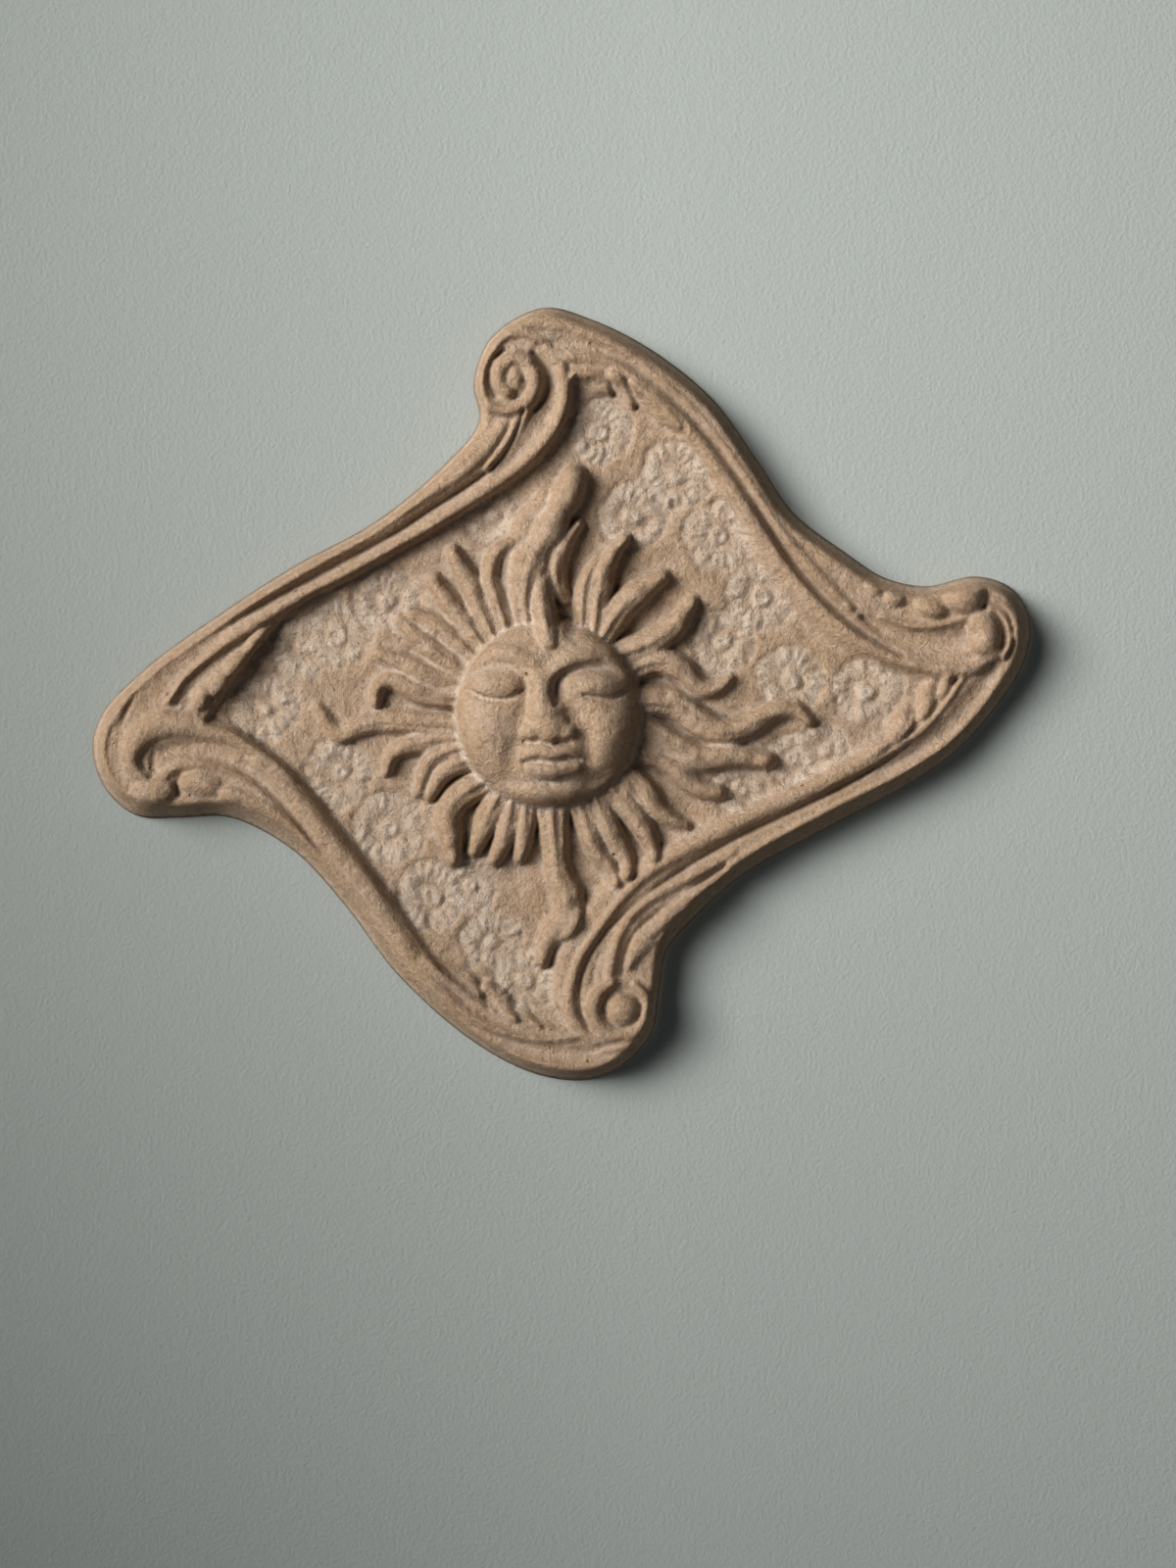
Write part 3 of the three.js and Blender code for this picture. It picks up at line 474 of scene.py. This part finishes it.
def curve_through(points, closed=False, steps=CURVE_STEPS):
    """A smooth curve through the points of a path, as a dense row of places."""
    nodes = np.array(points, float)
    if closed:
        before, start, end, after = (np.roll(nodes, -turn, 0) for turn in range(4))
    else:
        padded = np.vstack([2 * nodes[0] - nodes[1], nodes, 2 * nodes[-1] - nodes[-2]])
        before, start, end, after = padded[:-3], padded[1:-2], padded[2:-1], padded[3:]

    def gap(a, b):
        return np.maximum(np.linalg.norm(b - a, axis=1, keepdims=True) ** 0.5, 1e-6)

    first, middle, last = gap(before, start), gap(start, end), gap(end, after)
    leave = ((start - before) / first - (end - before) / (first + middle) + (end - start) / middle) * middle
    arrive = ((end - start) / middle - (after - start) / (middle + last) + (after - end) / last) * middle
    rows = []
    for t in np.arange(steps) / steps:
        rows.append(
            start * (2 * t ** 3 - 3 * t ** 2 + 1) + end * (3 * t ** 2 - 2 * t ** 3)
            + leave * (t ** 3 - 2 * t ** 2 + t) + arrive * (t ** 3 - t ** 2)
        )
    line = np.stack(rows, 1).reshape(-1, 2)
    return np.vstack([line, line[:1] if closed else nodes[-1:]])


def nearest(places, line):
    """Distance of each place to a line, its share of the line's length there, and its signed distance."""
    lengths = np.concatenate([[0], np.cumsum(np.linalg.norm(np.diff(line, axis=0), axis=1))])
    best = np.full(len(places), np.inf)
    share = np.zeros(len(places))
    side = np.zeros(len(places))
    for start, end, run in zip(line[:-1], line[1:], lengths[:-1]):
        along = end - start
        length = np.hypot(*along)
        if length < 1e-9:
            continue
        offset = places - start
        t = np.clip(offset @ along / length ** 2, 0, 1)
        far = np.hypot(offset[:, 0] - t * along[0], offset[:, 1] - t * along[1])
        closer = far < best
        cross = along[0] * offset[:, 1] - along[1] * offset[:, 0]
        best = np.where(closer, far, best)
        share = np.where(closer, (run + t * length) / lengths[-1], share)
        side = np.where(closer, np.sign(cross) * far, side)
    return best, share, side


def spread(values, share):
    """Values that run evenly along a line, at each share of its length."""
    values = np.atleast_1d(np.array(values, float))
    return np.interp(share, np.linspace(0, 1, len(values)), values)


def near_box(places, line, reach):
    """Numbers of the places within reach of a line's box."""
    low, high = line.min(0) - reach, line.max(0) + reach
    return np.flatnonzero(((places > low) & (places < high)).all(1))


def stroke(places, path, half, rise, fullness=FULLNESS, flutes=(), trim=0.0):
    """Rise of a rounded form laid along a path, nothing outside it."""
    made = np.zeros(len(places))
    line = curve_through(path)
    if trim:
        to_tip = np.cumsum(np.linalg.norm(np.diff(line[::-1], axis=0), axis=1))[::-1]
        line = line[:-1][to_tip > trim * half[-1]]
    picked = near_box(places, line, max(half) + 1)
    far, share, side = nearest(places[picked], line)
    wide = spread(half, share)
    inside = np.clip(1 - (far / wide) ** 2, 0, None)
    height = spread(rise, share) * inside ** fullness
    at_foot, lost = RAY_GROOVE_FADE
    for flute in flutes:
        notch = np.clip(1 - ((side / wide - flute) / RAY_GROOVE_WIDTH) ** 2, 0, None)
        height -= RAY_GROOVE_DEPTH * notch * np.clip(at_foot - lost * share, 0, 1) * (inside > 0)
    made[picked] = np.maximum(height, 0)
    return made


def turned(places, centre, half_x, half_y, turn):
    """Places measured along the turned half-axes of an oval."""
    angle = math.radians(turn)
    x, y = (places - centre).T
    across = (x * math.cos(angle) + y * math.sin(angle)) / half_x
    down = (y * math.cos(angle) - x * math.sin(angle)) / half_y
    return across, down


def knob(places, centre, half_x, half_y, turn, rise, fullness=0.5):
    """Rise of a domed form with an oval foot."""
    across, down = turned(places, centre, half_x, half_y, turn)
    return rise * np.clip(1 - across ** 2 - down ** 2, 0, None) ** fullness


def swell(places, centre, half, turn, rise):
    """Rise of a soft swell that fades out."""
    across, down = turned(places, centre, *half, turn)
    return rise * np.exp(-(across ** 2 + down ** 2))


def merge(a, b, blend=BLEND):
    """The higher of two forms, run together where they meet."""
    soft = np.minimum(blend, 2 * np.maximum(np.minimum(a, b), 0)) + 1e-9
    return np.maximum(a, b) + np.maximum(soft - abs(a - b), 0) ** 2 / (4 * soft)


def ray(places, path, half, rise):
    return stroke(places, path, half, rise, RAY_FULLNESS, RAY_GROOVES, RAY_TRIM)


def laid_on(made, places, form, items, blend=BLEND):
    """What is made already with more strokes or knobs laid on it, one by one."""
    for item in items:
        made = merge(made, form(places, *item), blend)
    return made


def deepest(places, cuts):
    return np.max([stroke(places, *cut) for cut in cuts], axis=0)


def unevenness(places, size, height, seed):
    """Smooth random lumps of one size."""
    lattice = np.random.default_rng(seed).uniform(-1, 1, (LATTICE, LATTICE))
    spot = places / size
    cell = np.floor(spot).astype(int)
    t = spot - cell
    t = t * t * (3 - 2 * t)
    x, y = cell.T % (LATTICE - 1)
    low = lattice[y, x] * (1 - t[:, 0]) + lattice[y, x + 1] * t[:, 0]
    high = lattice[y + 1, x] * (1 - t[:, 0]) + lattice[y + 1, x + 1] * t[:, 0]
    return height * (low * (1 - t[:, 1]) + high * t[:, 1])


def step(values, low, high):
    """Rises smoothly from 0 to 1 between two values."""
    t = np.clip((values - low) / (high - low), 0, 1)
    return t * t * (3 - 2 * t)


def inside_line(places, line):
    """Whether each place lies inside a closed line."""
    x, y = places.T
    inside = np.zeros(len(places), bool)
    for (x0, y0), (x1, y1) in zip(line[:-1], line[1:]):
        crosses = (y0 > y) != (y1 > y)
        if y1 != y0:
            inside ^= crosses & (x < (x1 - x0) * (y - y0) / (y1 - y0) + x0)
    return inside


def shares_of(gaps, least):
    """How much each of several things counts at a place, by its distance."""
    weights = 1 / (gaps + least) ** NEARNESS
    return weights / weights.sum(1, keepdims=True)


def field_share(places):
    """1 on the sunk field, 0 on the border, with each side's own step between them."""
    sides = [curve_through(path) for path, _ in FIELD_SIDES]
    edge = np.vstack(sides + [sides[0][:1]])
    distances = np.column_stack([nearest(places, side)[0] for side in sides])
    width = shares_of(distances, SIDE_LEAST) @ np.array([width for _, width in FIELD_SIDES], float)
    far = distances.min(1) * np.where(inside_line(places, edge), 1, -1)
    return step(far, STEP_START, width)


def side_wall(places, outline_line):
    """Height of the sloping side, how softly it turns into the border, and the distance from the outline."""
    far, _, _ = nearest(places, outline_line)
    marks = np.array([mark for mark, _, _ in SIDE_SLOPES], float)
    weights = shares_of(np.linalg.norm(places[:, None] - marks[None], axis=2), MARK_LEAST)
    width = weights @ np.array([width for _, width, _ in SIDE_SLOPES], float)
    soft = weights @ np.array([soft for _, _, soft in SIDE_SLOPES], float)
    return BORDER_HEIGHT * far / width + EDGE_RADIUS, soft, far


def rosette_rise(places, centre, radius):
    """A worn ring of petals round a button, pressed into a shallow dish, and where its pale bloom lies."""
    seed = int(centre[0] * SEED_STEP + centre[1])
    x, y = (places - centre).T
    share = np.hypot(x, y) / radius
    picked = np.flatnonzero(share < ROSETTE_REACH)
    rise, bloom = np.zeros(len(places)), np.zeros(len(places))
    wander = sum(unevenness(places[picked], *size, seed) for size in ROSETTE_WANDER)
    share = share[picked] + wander
    slot = (np.arctan2(y, x)[picked] / math.tau + seed * TURN_STEP + PETAL_TURN * wander) * PETALS
    worn = np.random.default_rng(seed).uniform(PETAL_WORN, 1.0, PETALS)
    fresh = worn[np.floor(slot).astype(int) % PETALS]
    across = np.clip(1 - (PETAL_GAP * (slot % 1 - 0.5)) ** 2, 0, 1)
    start, end = PETAL_REACH
    shortest, longest = PETAL_LENGTHS
    middle, half = (start + end) / 2, (end - start) / 2 * (shortest + (longest - shortest) * fresh)
    along = np.clip(1 - ((share - middle) / half) ** 2, 0, 1) ** PETAL_FULLNESS
    button = np.clip(1 - (share / BUTTON_SHARE) ** BUTTON_BOXY, 0, 1)
    dimple = np.clip(1 - (share / (DIMPLE_SHARE * BUTTON_SHARE)) ** 2, 0, 1)
    lowest, highest = PETAL_HEIGHTS
    rise[picked] = PETAL_RISE * along * across * (lowest + (highest - lowest) * fresh)
    rise[picked] -= DISH_DEPTH * step(share, *DISH_EDGE)
    rise[picked] += BUTTON_RISE * button - DIMPLE_DEPTH * dimple
    petal_bloom = BLOOM_GROUND + (1 - BLOOM_GROUND) * np.maximum(across * along, button)
    bloom[picked] = step(share, *BLOOM_EDGE) * petal_bloom
    return rise, bloom


def face_rise(places):
    """The face over the field: a boxy dome with its features, nothing outside it."""
    x, y = (places - FACE_CENTRE).T
    far = np.hypot(x / FACE_HALF[0], y / FACE_HALF[1])
    inside = np.clip(1 - far ** FACE_DOME[0], 0, None)
    dome = FACE_RISE * inside ** FACE_DOME[1]
    detail = sum(swell(places, *item) for item in FACE_SWELLS)
    ridges = laid_on(0.0, places, stroke, FACE_RIDGES, FACE_BLEND)
    ridges = laid_on(ridges, places, knob, FACE_KNOBS, FACE_BLEND)
    soft_forms = step(inside, 0.0, FACE_FADE) * (detail + unevenness(places, *FACE_UNEVEN))
    features = step(inside, 0.0, FEATURE_FADE) * (ridges - deepest(places, FACE_CUTS))
    return np.where(inside > 0, dome + soft_forms + features, 0)


def relief(places, outline_line):
    """Height over the back in millimetres at places on the sheet, the sun's rise and where bloom lies."""
    field = field_share(places)
    ground = BORDER_HEIGHT + (FIELD_HEIGHT - BORDER_HEIGHT) * field
    border = laid_on(0.0, places, stroke, ROLLS)
    border = laid_on(border, places, knob, KNOBS)
    border = laid_on(border, places, stroke, LEAVES)
    for item in UNEVEN:
        ground = ground + unevenness(places, *item)
    pressed, bloom = np.zeros(len(places)), np.zeros(len(places))
    for item in ROSETTES:
        rise, pale = rosette_rise(places, *item)
        pressed = np.where(abs(rise) > abs(pressed), rise, pressed)
        bloom = np.maximum(bloom, pale)
    for item in FIELD_UNEVEN:
        pressed = pressed + unevenness(places, *item)
    pressed = pressed + bloom * unevenness(places, *PETAL_UNEVEN)
    rays = laid_on(0.0, places, ray, RAYS)
    rays = np.maximum(rays + (rays > RAY_EDGE) * unevenness(places, *RAY_UNEVEN), 0)
    sun = merge(rays, face_rise(places), SUN_BLEND)
    sun = np.maximum(sun - stroke(places, *CRACK), 0)
    open_field = field * (sun < OVER_FIELD)
    top = ground + border - deepest(places, CUTS + LEAF_CUTS) + open_field * pressed + sun
    wall, soft, far = side_wall(places, outline_line)
    rounding = np.maximum(soft - abs(wall - top), 0) ** 2 / (4 * soft)
    return np.minimum(wall, top) - rounding * (far > SIDE_ROUNDED), sun, bloom * open_field


def place(places, height):
    """Sheet places at a height over the back, in the plaque's frame, in metres."""
    nearer = (1 - height / SIGHT_DISTANCE)[:, None]
    flat = ((places - SIGHT_POINT) * nearer + SIGHT_POINT - SHEET_ORIGIN) * UNIT * MM
    return np.column_stack([flat[:, 0], -height * MM, -flat[:, 1]])


def sheet_places(vertices):
    """Where vertices lie on the sheet."""
    return np.array([(v.co.x, -v.co.y) for v in vertices])


def put(vertices, places):
    """Lays vertices at places on the sheet."""
    for vertex, (x, y) in zip(vertices, places):
        vertex.co = (x, -y, 0)


def snap_to_line(places, line):
    """The nearest place on a line for each place."""
    best = np.full(len(places), np.inf)
    found = places.copy()
    for start, end in zip(line[:-1], line[1:]):
        along = end - start
        t = np.clip((places - start) @ along / max(along @ along, 1e-12), 0, 1)
        spot = start + t[:, None] * along
        far = np.linalg.norm(places - spot, axis=1)
        closer = far < best
        best = np.where(closer, far, best)
        found = np.where(closer[:, None], spot, found)
    return found


def flat_sheet(line):
    """A fine flat sheet cut to the outline, drawn together round the face."""
    low, high = line.min(0) - PITCH, line.max(0) + PITCH
    count = np.ceil((high - low) / PITCH).astype(int)
    bm = bmesh.new()
    bmesh.ops.create_grid(bm, x_segments=int(count[0]), y_segments=int(count[1]), size=0.5)
    middle, size = (low + high) / 2, high - low
    to_sheet = Matrix.Translation((middle[0], -middle[1], 0)) @ Matrix.Diagonal((size[0], size[1], 1, 1))
    bmesh.ops.transform(bm, matrix=to_sheet, verts=bm.verts)
    offset = sheet_places(bm.verts) - SHEET_ORIGIN
    pull = 1 - FINE_SHARE * np.exp(-(offset ** 2).sum(1) / FINE_REACH ** 2)
    places = SHEET_ORIGIN + offset * pull[:, None]
    put(bm.verts, places)
    keep = inside_line(places, line) & (nearest(places, line)[0] > RIM_CLEARANCE * PITCH)
    outside = [vertex for vertex, kept in zip(bm.verts, keep) if not kept]
    bmesh.ops.delete(bm, geom=outside, context="VERTS")
    loose = [vertex for vertex in bm.verts if len(vertex.link_faces) == 0]
    bmesh.ops.delete(bm, geom=loose, context="VERTS")
    return bm


def rim_edges(bm):
    return [edge for edge in bm.edges if edge.is_boundary]


def spread_rim(bm, line):
    """Carries the sheet's ragged rim out to the outline, and evens the mesh beside it."""
    made = bmesh.ops.extrude_edge_only(bm, edges=rim_edges(bm))["geom"]
    rim = [item for item in made if isinstance(item, bmesh.types.BMVert)]
    order = {vertex: index for index, vertex in enumerate(rim)}
    spots = sheet_places(rim)
    pairs = np.array([[order[v] for v in edge.verts] for edge in rim_edges(bm)])
    for _ in range(RIM_ROUNDS):
        total = np.zeros_like(spots)
        np.add.at(total, pairs[:, 0], spots[pairs[:, 1]])
        np.add.at(total, pairs[:, 1], spots[pairs[:, 0]])
        spots = snap_to_line(0.5 * spots + 0.25 * total, line)
    put(rim, spots)
    fixed = set(rim)
    beside = [vertex for vertex in bm.verts if vertex not in fixed]
    near = nearest(sheet_places(beside), line)[0] < BESIDE_RIM * PITCH
    beside = [vertex for vertex, close in zip(beside, near) if close]
    for _ in range(BESIDE_ROUNDS):
        bmesh.ops.smooth_vert(
            bm, verts=beside, factor=0.5, use_axis_x=True, use_axis_y=True, use_axis_z=False,
        )


def inward(places, line):
    """Unit vectors on the sheet that point into the plaque from places on its clockwise outline."""
    middles = (line[:-1] + line[1:]) / 2
    gaps = np.linalg.norm(places[:, None] - middles[None], axis=2)
    along = np.diff(line, axis=0)[gaps.argmin(1)]
    return np.column_stack([-along[:, 1], along[:, 0]]) / np.linalg.norm(along, axis=1)[:, None]


def close_back(bm, line):
    """Rounds the arris and closes the flat back."""
    for inset, height in ARRIS:
        made = bmesh.ops.extrude_edge_only(bm, edges=rim_edges(bm))["geom"]
        ring = [item for item in made if isinstance(item, bmesh.types.BMVert)]
        spots = np.array([(v.co.x, -v.co.z) for v in ring]) / (UNIT * MM) + SHEET_ORIGIN
        for vertex, (x, y) in zip(ring, inward(spots, line) * inset * EDGE_RADIUS * MM):
            vertex.co += Vector((x, 0, -y))
            vertex.co.y = -height * EDGE_RADIUS * MM
    bmesh.ops.triangle_fill(bm, use_beauty=True, use_dissolve=False, edges=rim_edges(bm))


def softener(bm):
    """A function that evens out values over the mesh, some number of times."""
    bm.verts.index_update()
    ends = np.array([[v.index for v in edge.verts] for edge in bm.edges])
    counts = np.maximum(np.bincount(ends.ravel(), minlength=len(bm.verts)), 1)

    def soften(values, times):
        for _ in range(times):
            total = np.bincount(ends[:, 0], values[ends[:, 1]], len(values))
            total += np.bincount(ends[:, 1], values[ends[:, 0]], len(values))
            values = (1 - EVENING) * values + EVENING * total / counts
        return values

    return soften


def clay_marks(soften, height, sun, bloom):
    """Where edges are rubbed, where pale bloom lies and where painted shade and dirt darken the crevices,
    for the finish.
    """
    raised = np.clip(0.5 + RUBBED_GAIN * (height - soften(height, RUBBED_STEPS)), 0, 1)
    hollow = np.clip(HOLLOW_GAIN * (soften(height, HOLLOW_STEPS) - height), 0, 1)
    crevice = np.clip(CREVICE_GAIN * (soften(height, CREVICE_STEPS) - height) - CREVICE_FLOOR, 0, 1)
    by_sun = soften(step(sun, *SUN_EDGE), SUN_STEPS)
    pale = soften(bloom, BLOOM_STEPS) + HOLLOW_BLOOM * hollow + SUN_BLOOM * crevice * by_sun
    # the third mark is painted shade and dirt in the crevices, mostly left out by the sun
    return raised, np.clip(pale, 0, 1), crevice * (1 - (1 - SUN_SHADE_AND_DIRT_LEFT) * by_sun)


def add_object(name, data):
    made = bpy.data.objects.new(name, data)
    bpy.context.collection.objects.link(made)
    return made


def add_mesh(name, bm):
    mesh = bpy.data.meshes.new(name)
    bm.to_mesh(mesh)
    bm.free()
    return add_object(name, mesh)


def build_plaque():
    line = curve_through(OUTLINE, closed=True, steps=OUTLINE_STEPS)
    bm = flat_sheet(line)
    spread_rim(bm, line)
    places = sheet_places(bm.verts)
    height, sun, bloom = relief(places, line)
    soften = softener(bm)
    worn = step(nearest(places, line)[0], *WEAR_EDGE)
    height += worn * (soften(height, WEAR) - height)
    marks = clay_marks(soften, height, sun, bloom)
    for vertex, spot in zip(bm.verts, place(places, height)):
        vertex.co = spot
    layer = bm.verts.layers.float_color.new("clay")
    for vertex, *mark in zip(bm.verts, *marks):
        vertex[layer] = (*mark, 1)
    close_back(bm, line)
    bmesh.ops.recalc_face_normals(bm, faces=bm.faces)
    for face in bm.faces:
        face.smooth = True
    return add_mesh("sun_plaque_relief", bm)


def new_group(name, values, results):
    """An empty node group over a place, with the sockets of its two ends."""
    tree = bpy.data.node_groups.new(name, "ShaderNodeTree")
    tree.interface.new_socket(name="Vector", in_out="INPUT", socket_type="NodeSocketVector")
    for value in values:
        tree.interface.new_socket(name=value, in_out="INPUT", socket_type="NodeSocketFloat")
    for result in results:
        tree.interface.new_socket(name=result, in_out="OUTPUT", socket_type="NodeSocketFloat")
    return tree, tree.nodes.new("NodeGroupInput").outputs, tree.nodes.new("NodeGroupOutput").inputs


def give(tree, value, into):
    """Sets a socket to a number, or links another socket to it."""
    if isinstance(value, bpy.types.NodeSocket):
        tree.links.new(value, into)
    else:
        into.default_value = value


def noise(tree, where, scale, detail, roughness):
    """A noise pattern over a place; the scale is a number or a socket."""
    node = tree.nodes.new("ShaderNodeTexNoise")
    give(tree, where, node.inputs["Vector"])
    give(tree, scale, node.inputs["Scale"])
    node.inputs["Detail"].default_value = detail
    node.inputs["Roughness"].default_value = roughness
    return node.outputs["Fac"]


def grain_group():
    """Fine grain in two sizes: a height for bumps and a light and dark speckle."""
    tree, start, end = new_group("grain", ("Size", "Coarse"), ("Height", "Speckle"))
    scale = maths(tree, "DIVIDE", 1.0, start["Size"])
    fine = noise(tree, start["Vector"], scale, *FINE_NOISE)
    wide = maths(tree, "MULTIPLY", scale, COARSE_SHARE)
    coarse = noise(tree, start["Vector"], wide, *COARSE_NOISE)
    height = tree.nodes.new("ShaderNodeMix")
    for number, part in ((0, start["Coarse"]), (2, fine), (3, coarse)):
        give(tree, part, height.inputs[number])
    give(tree, height.outputs[0], end["Height"])
    give(tree, ramp(tree, fine, *SPECKLE_RANGE), end["Speckle"])
    return tree


def pits_group():
    """Small round pits scattered over the surface: 1 inside a pit."""
    tree, start, end = new_group("pits", ("Spacing", "Share"), ("Mask",))
    cells = tree.nodes.new("ShaderNodeTexVoronoi")
    give(tree, start["Vector"], cells.inputs["Vector"])
    give(tree, maths(tree, "DIVIDE", 1.0, start["Spacing"]), cells.inputs["Scale"])
    chosen = maths(tree, "LESS_THAN", cells.outputs["Color"], start["Share"])
    inside = ramp(tree, cells.outputs["Distance"], *PIT_EDGE)
    give(tree, maths(tree, "MULTIPLY", chosen, inside), end["Mask"])
    return tree


def place_group(tree, group, where, values):
    """A group in a material, over a place, with its own values."""
    node = tree.nodes.new("ShaderNodeGroup")
    node.node_tree = group
    give(tree, where, node.inputs["Vector"])
    for name, value in values.items():
        node.inputs[name].default_value = value
    return node.outputs


def new_material(name):
    material = bpy.data.materials.new(name)
    material.use_nodes = True
    return material, material.node_tree


def blend_colour(tree, amount, low, high):
    """A colour mix; low and high are colours or sockets."""
    mix = tree.nodes.new("ShaderNodeMix")
    mix.data_type = "RGBA"
    give(tree, amount, mix.inputs[0])
    for number, value in ((6, low), (7, high)):
        if isinstance(value, tuple):
            mix.inputs[number].default_value = (*value, 1)
        else:
            give(tree, value, mix.inputs[number])
    return mix.outputs[2]


def ramp(tree, value, low, high, to_low=0.0, to_high=1.0):
    """A value carried evenly from one range to another."""
    node = tree.nodes.new("ShaderNodeMapRange")
    for number, part in enumerate((value, low, high, to_low, to_high)):
        give(tree, part, node.inputs[number])
    return node.outputs[0]


def maths(tree, operation, first, second):
    node = tree.nodes.new("ShaderNodeMath")
    node.operation = operation
    give(tree, first, node.inputs[0])
    give(tree, second, node.inputs[1])
    return node.outputs[0]


def bumps(tree, height, depth, shader):
    """Bumps of a pattern's height on a shader's normal."""
    bump = tree.nodes.new("ShaderNodeBump")
    bump.inputs["Strength"].default_value = 1.0
    bump.inputs["Distance"].default_value = depth
    give(tree, height, bump.inputs["Height"])
    give(tree, bump.outputs[0], shader.inputs["Normal"])


def terracotta(grain, pits):
    """Unglazed fired clay: ochre where it is rubbed, pinkish bloom in the hollows, painted shade and dirt in
    the crevices, sandy grain and pits.
    """
    material, tree = new_material("terracotta")
    shader = tree.nodes["Principled BSDF"]
    shader.inputs["Specular IOR Level"].default_value = CLAY_GLOSS
    where = tree.nodes.new("ShaderNodeTexCoord").outputs["Object"]
    marks = tree.nodes.new("ShaderNodeVertexColor")
    marks.layer_name = "clay"
    split = tree.nodes.new("ShaderNodeSeparateColor")
    give(tree, marks.outputs["Color"], split.inputs[0])
    raised, bloom, crevice = split.outputs
    patches = noise(tree, where, *PATCHES)
    blotches = noise(tree, where, *BLOTCHES)
    sand = place_group(tree, grain, where, SAND)
    fine = place_group(tree, grain, where, GRAIN)
    holes = place_group(tree, pits, where, PITS)["Mask"]

    def over(value, limits):
        return ramp(tree, value, *limits)

    def times(first, second):
        return maths(tree, "MULTIPLY", first, second)

    body = blend_colour(tree, over(patches, PATCH_RANGE), CLAY_OCHRE, CLAY_PINK)
    for amount, colour in (
        (times(over(raised, RUBBED_RANGE), over(blotches, RUBBED_PATCHES)), CLAY_RUBBED),
        (times(bloom, over(blotches, BLOOM_PATCHES)), CLAY_BLOOM),
        (over(sand["Speckle"], PALE_SAND), CLAY_BLOOM),
        (over(sand["Speckle"], DARK_SAND), CLAY_DARK),
        (over(fine["Speckle"], DARK_GRAIN), CLAY_DARK),
        # painted shade and dirt darken the crevices
        (over(crevice, CREVICE_SHADE_AND_DIRT), CLAY_DARK),
        # the pits are painted darker
        (times(holes, PIT_DARKENING), CLAY_DARK),
    ):
        body = blend_colour(tree, amount, body, colour)
    give(tree, body, shader.inputs["Base Color"])
    give(tree, over(blotches, ROUGHNESS), shader.inputs["Roughness"])

    height = times(blotches, BLOTCH_BUMP)
    for pattern, share in ((sand["Height"], SAND_BUMP), (fine["Height"], GRAIN_BUMP), (holes, -PIT_BUMP)):
        height = maths(tree, "ADD", height, times(pattern, share))
    bumps(tree, height, CLAY_BUMP, shader)
    return material


def wall_paint(grain):
    """Pale wall paint, with painted shade darkening it towards the left, seen from in front only, so that
    the back of the plaque can be looked at.
    """
    material, tree = new_material("wall_paint")
    shader = tree.nodes["Principled BSDF"]
    shader.inputs["Roughness"].default_value = WALL_ROUGHNESS
    where = tree.nodes.new("ShaderNodeTexCoord").outputs["Object"]
    split = tree.nodes.new("ShaderNodeSeparateXYZ")
    give(tree, where, split.inputs[0])
    # painted shade: the wall is painted darker towards the left, where the light falls off
    painted_shade_left = ramp(tree, split.outputs["X"], *WALL_SHADE_FADE)
    colour = blend_colour(tree, painted_shade_left, WALL_COLOUR, WALL_SHADE_COLOUR)
    give(tree, colour, shader.inputs["Base Color"])
    height = place_group(tree, grain, where, WALL_GRAIN)["Height"]
    bumps(tree, height, WALL_BUMP, shader)
    behind = tree.nodes.new("ShaderNodeNewGeometry").outputs["Backfacing"]
    reach = tree.nodes.new("ShaderNodeLightPath").outputs["Ray Length"]
    close = maths(tree, "LESS_THAN", reach, TOUCHING)
    mix = tree.nodes.new("ShaderNodeMixShader")
    give(tree, maths(tree, "MAXIMUM", behind, close), mix.inputs[0])
    give(tree, shader.outputs[0], mix.inputs[1])
    give(tree, tree.nodes.new("ShaderNodeBsdfTransparent").outputs[0], mix.inputs[2])
    give(tree, mix.outputs[0], tree.nodes["Material Output"].inputs["Surface"])
    return material


def build_wall(grain):
    bm = bmesh.new()
    bmesh.ops.create_grid(bm, x_segments=1, y_segments=1, size=WALL_HALF)
    bmesh.ops.rotate(bm, verts=bm.verts, matrix=Matrix.Rotation(math.radians(90), 3, "X"))
    bmesh.ops.translate(bm, verts=bm.verts, vec=(0, WALL_GAP, 0))
    wall = add_mesh("wall", bm)
    wall.data.materials.append(wall_paint(grain))


def area_light(name, place_at, look_at, size, power, colour, cone):
    data = bpy.data.lights.new(name, "AREA")
    data.spread = cone
    data.shape = "RECTANGLE"
    data.size, data.size_y = size
    data.energy = power
    data.color = colour
    light = add_object(name, data)
    light.location = place_at
    light.rotation_euler = (Vector(look_at) - Vector(place_at)).to_track_quat("-Z", "Y").to_euler()


def light_scene():
    for light in LIGHTS:
        area_light(*light)
    world = bpy.data.worlds.new("room")
    world.use_nodes = True
    background = world.node_tree.nodes["Background"]
    background.inputs["Color"].default_value = (*ROOM_COLOUR, 1)
    background.inputs["Strength"].default_value = ROOM_STRENGTH
    bpy.context.scene.world = world


def build_camera():
    """The photograph's view: square to the wall, opposite the sight point."""
    data = bpy.data.cameras.new("camera")
    data.sensor_fit = "VERTICAL"
    data.sensor_height = SENSOR_HEIGHT
    data.lens = FOCAL_LENGTH
    camera = add_object("camera", data)
    across, down = (SIGHT_POINT - SHEET_ORIGIN) * UNIT * MM
    camera.location = (across, -CAMERA_DISTANCE, -down)
    camera.rotation_euler = (math.radians(90), 0, 0)
    bpy.context.scene.camera = camera


build_camera()
light_scene()
grain = grain_group()
build_wall(grain)
plaque = build_plaque()
plaque.data.materials.append(terracotta(grain, pits_group()))
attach(plaque, "root")
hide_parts("sun_plaque")
bpy.context.scene.view_settings.view_transform = "Standard"
bpy.context.scene.view_settings.look = "Medium High Contrast"
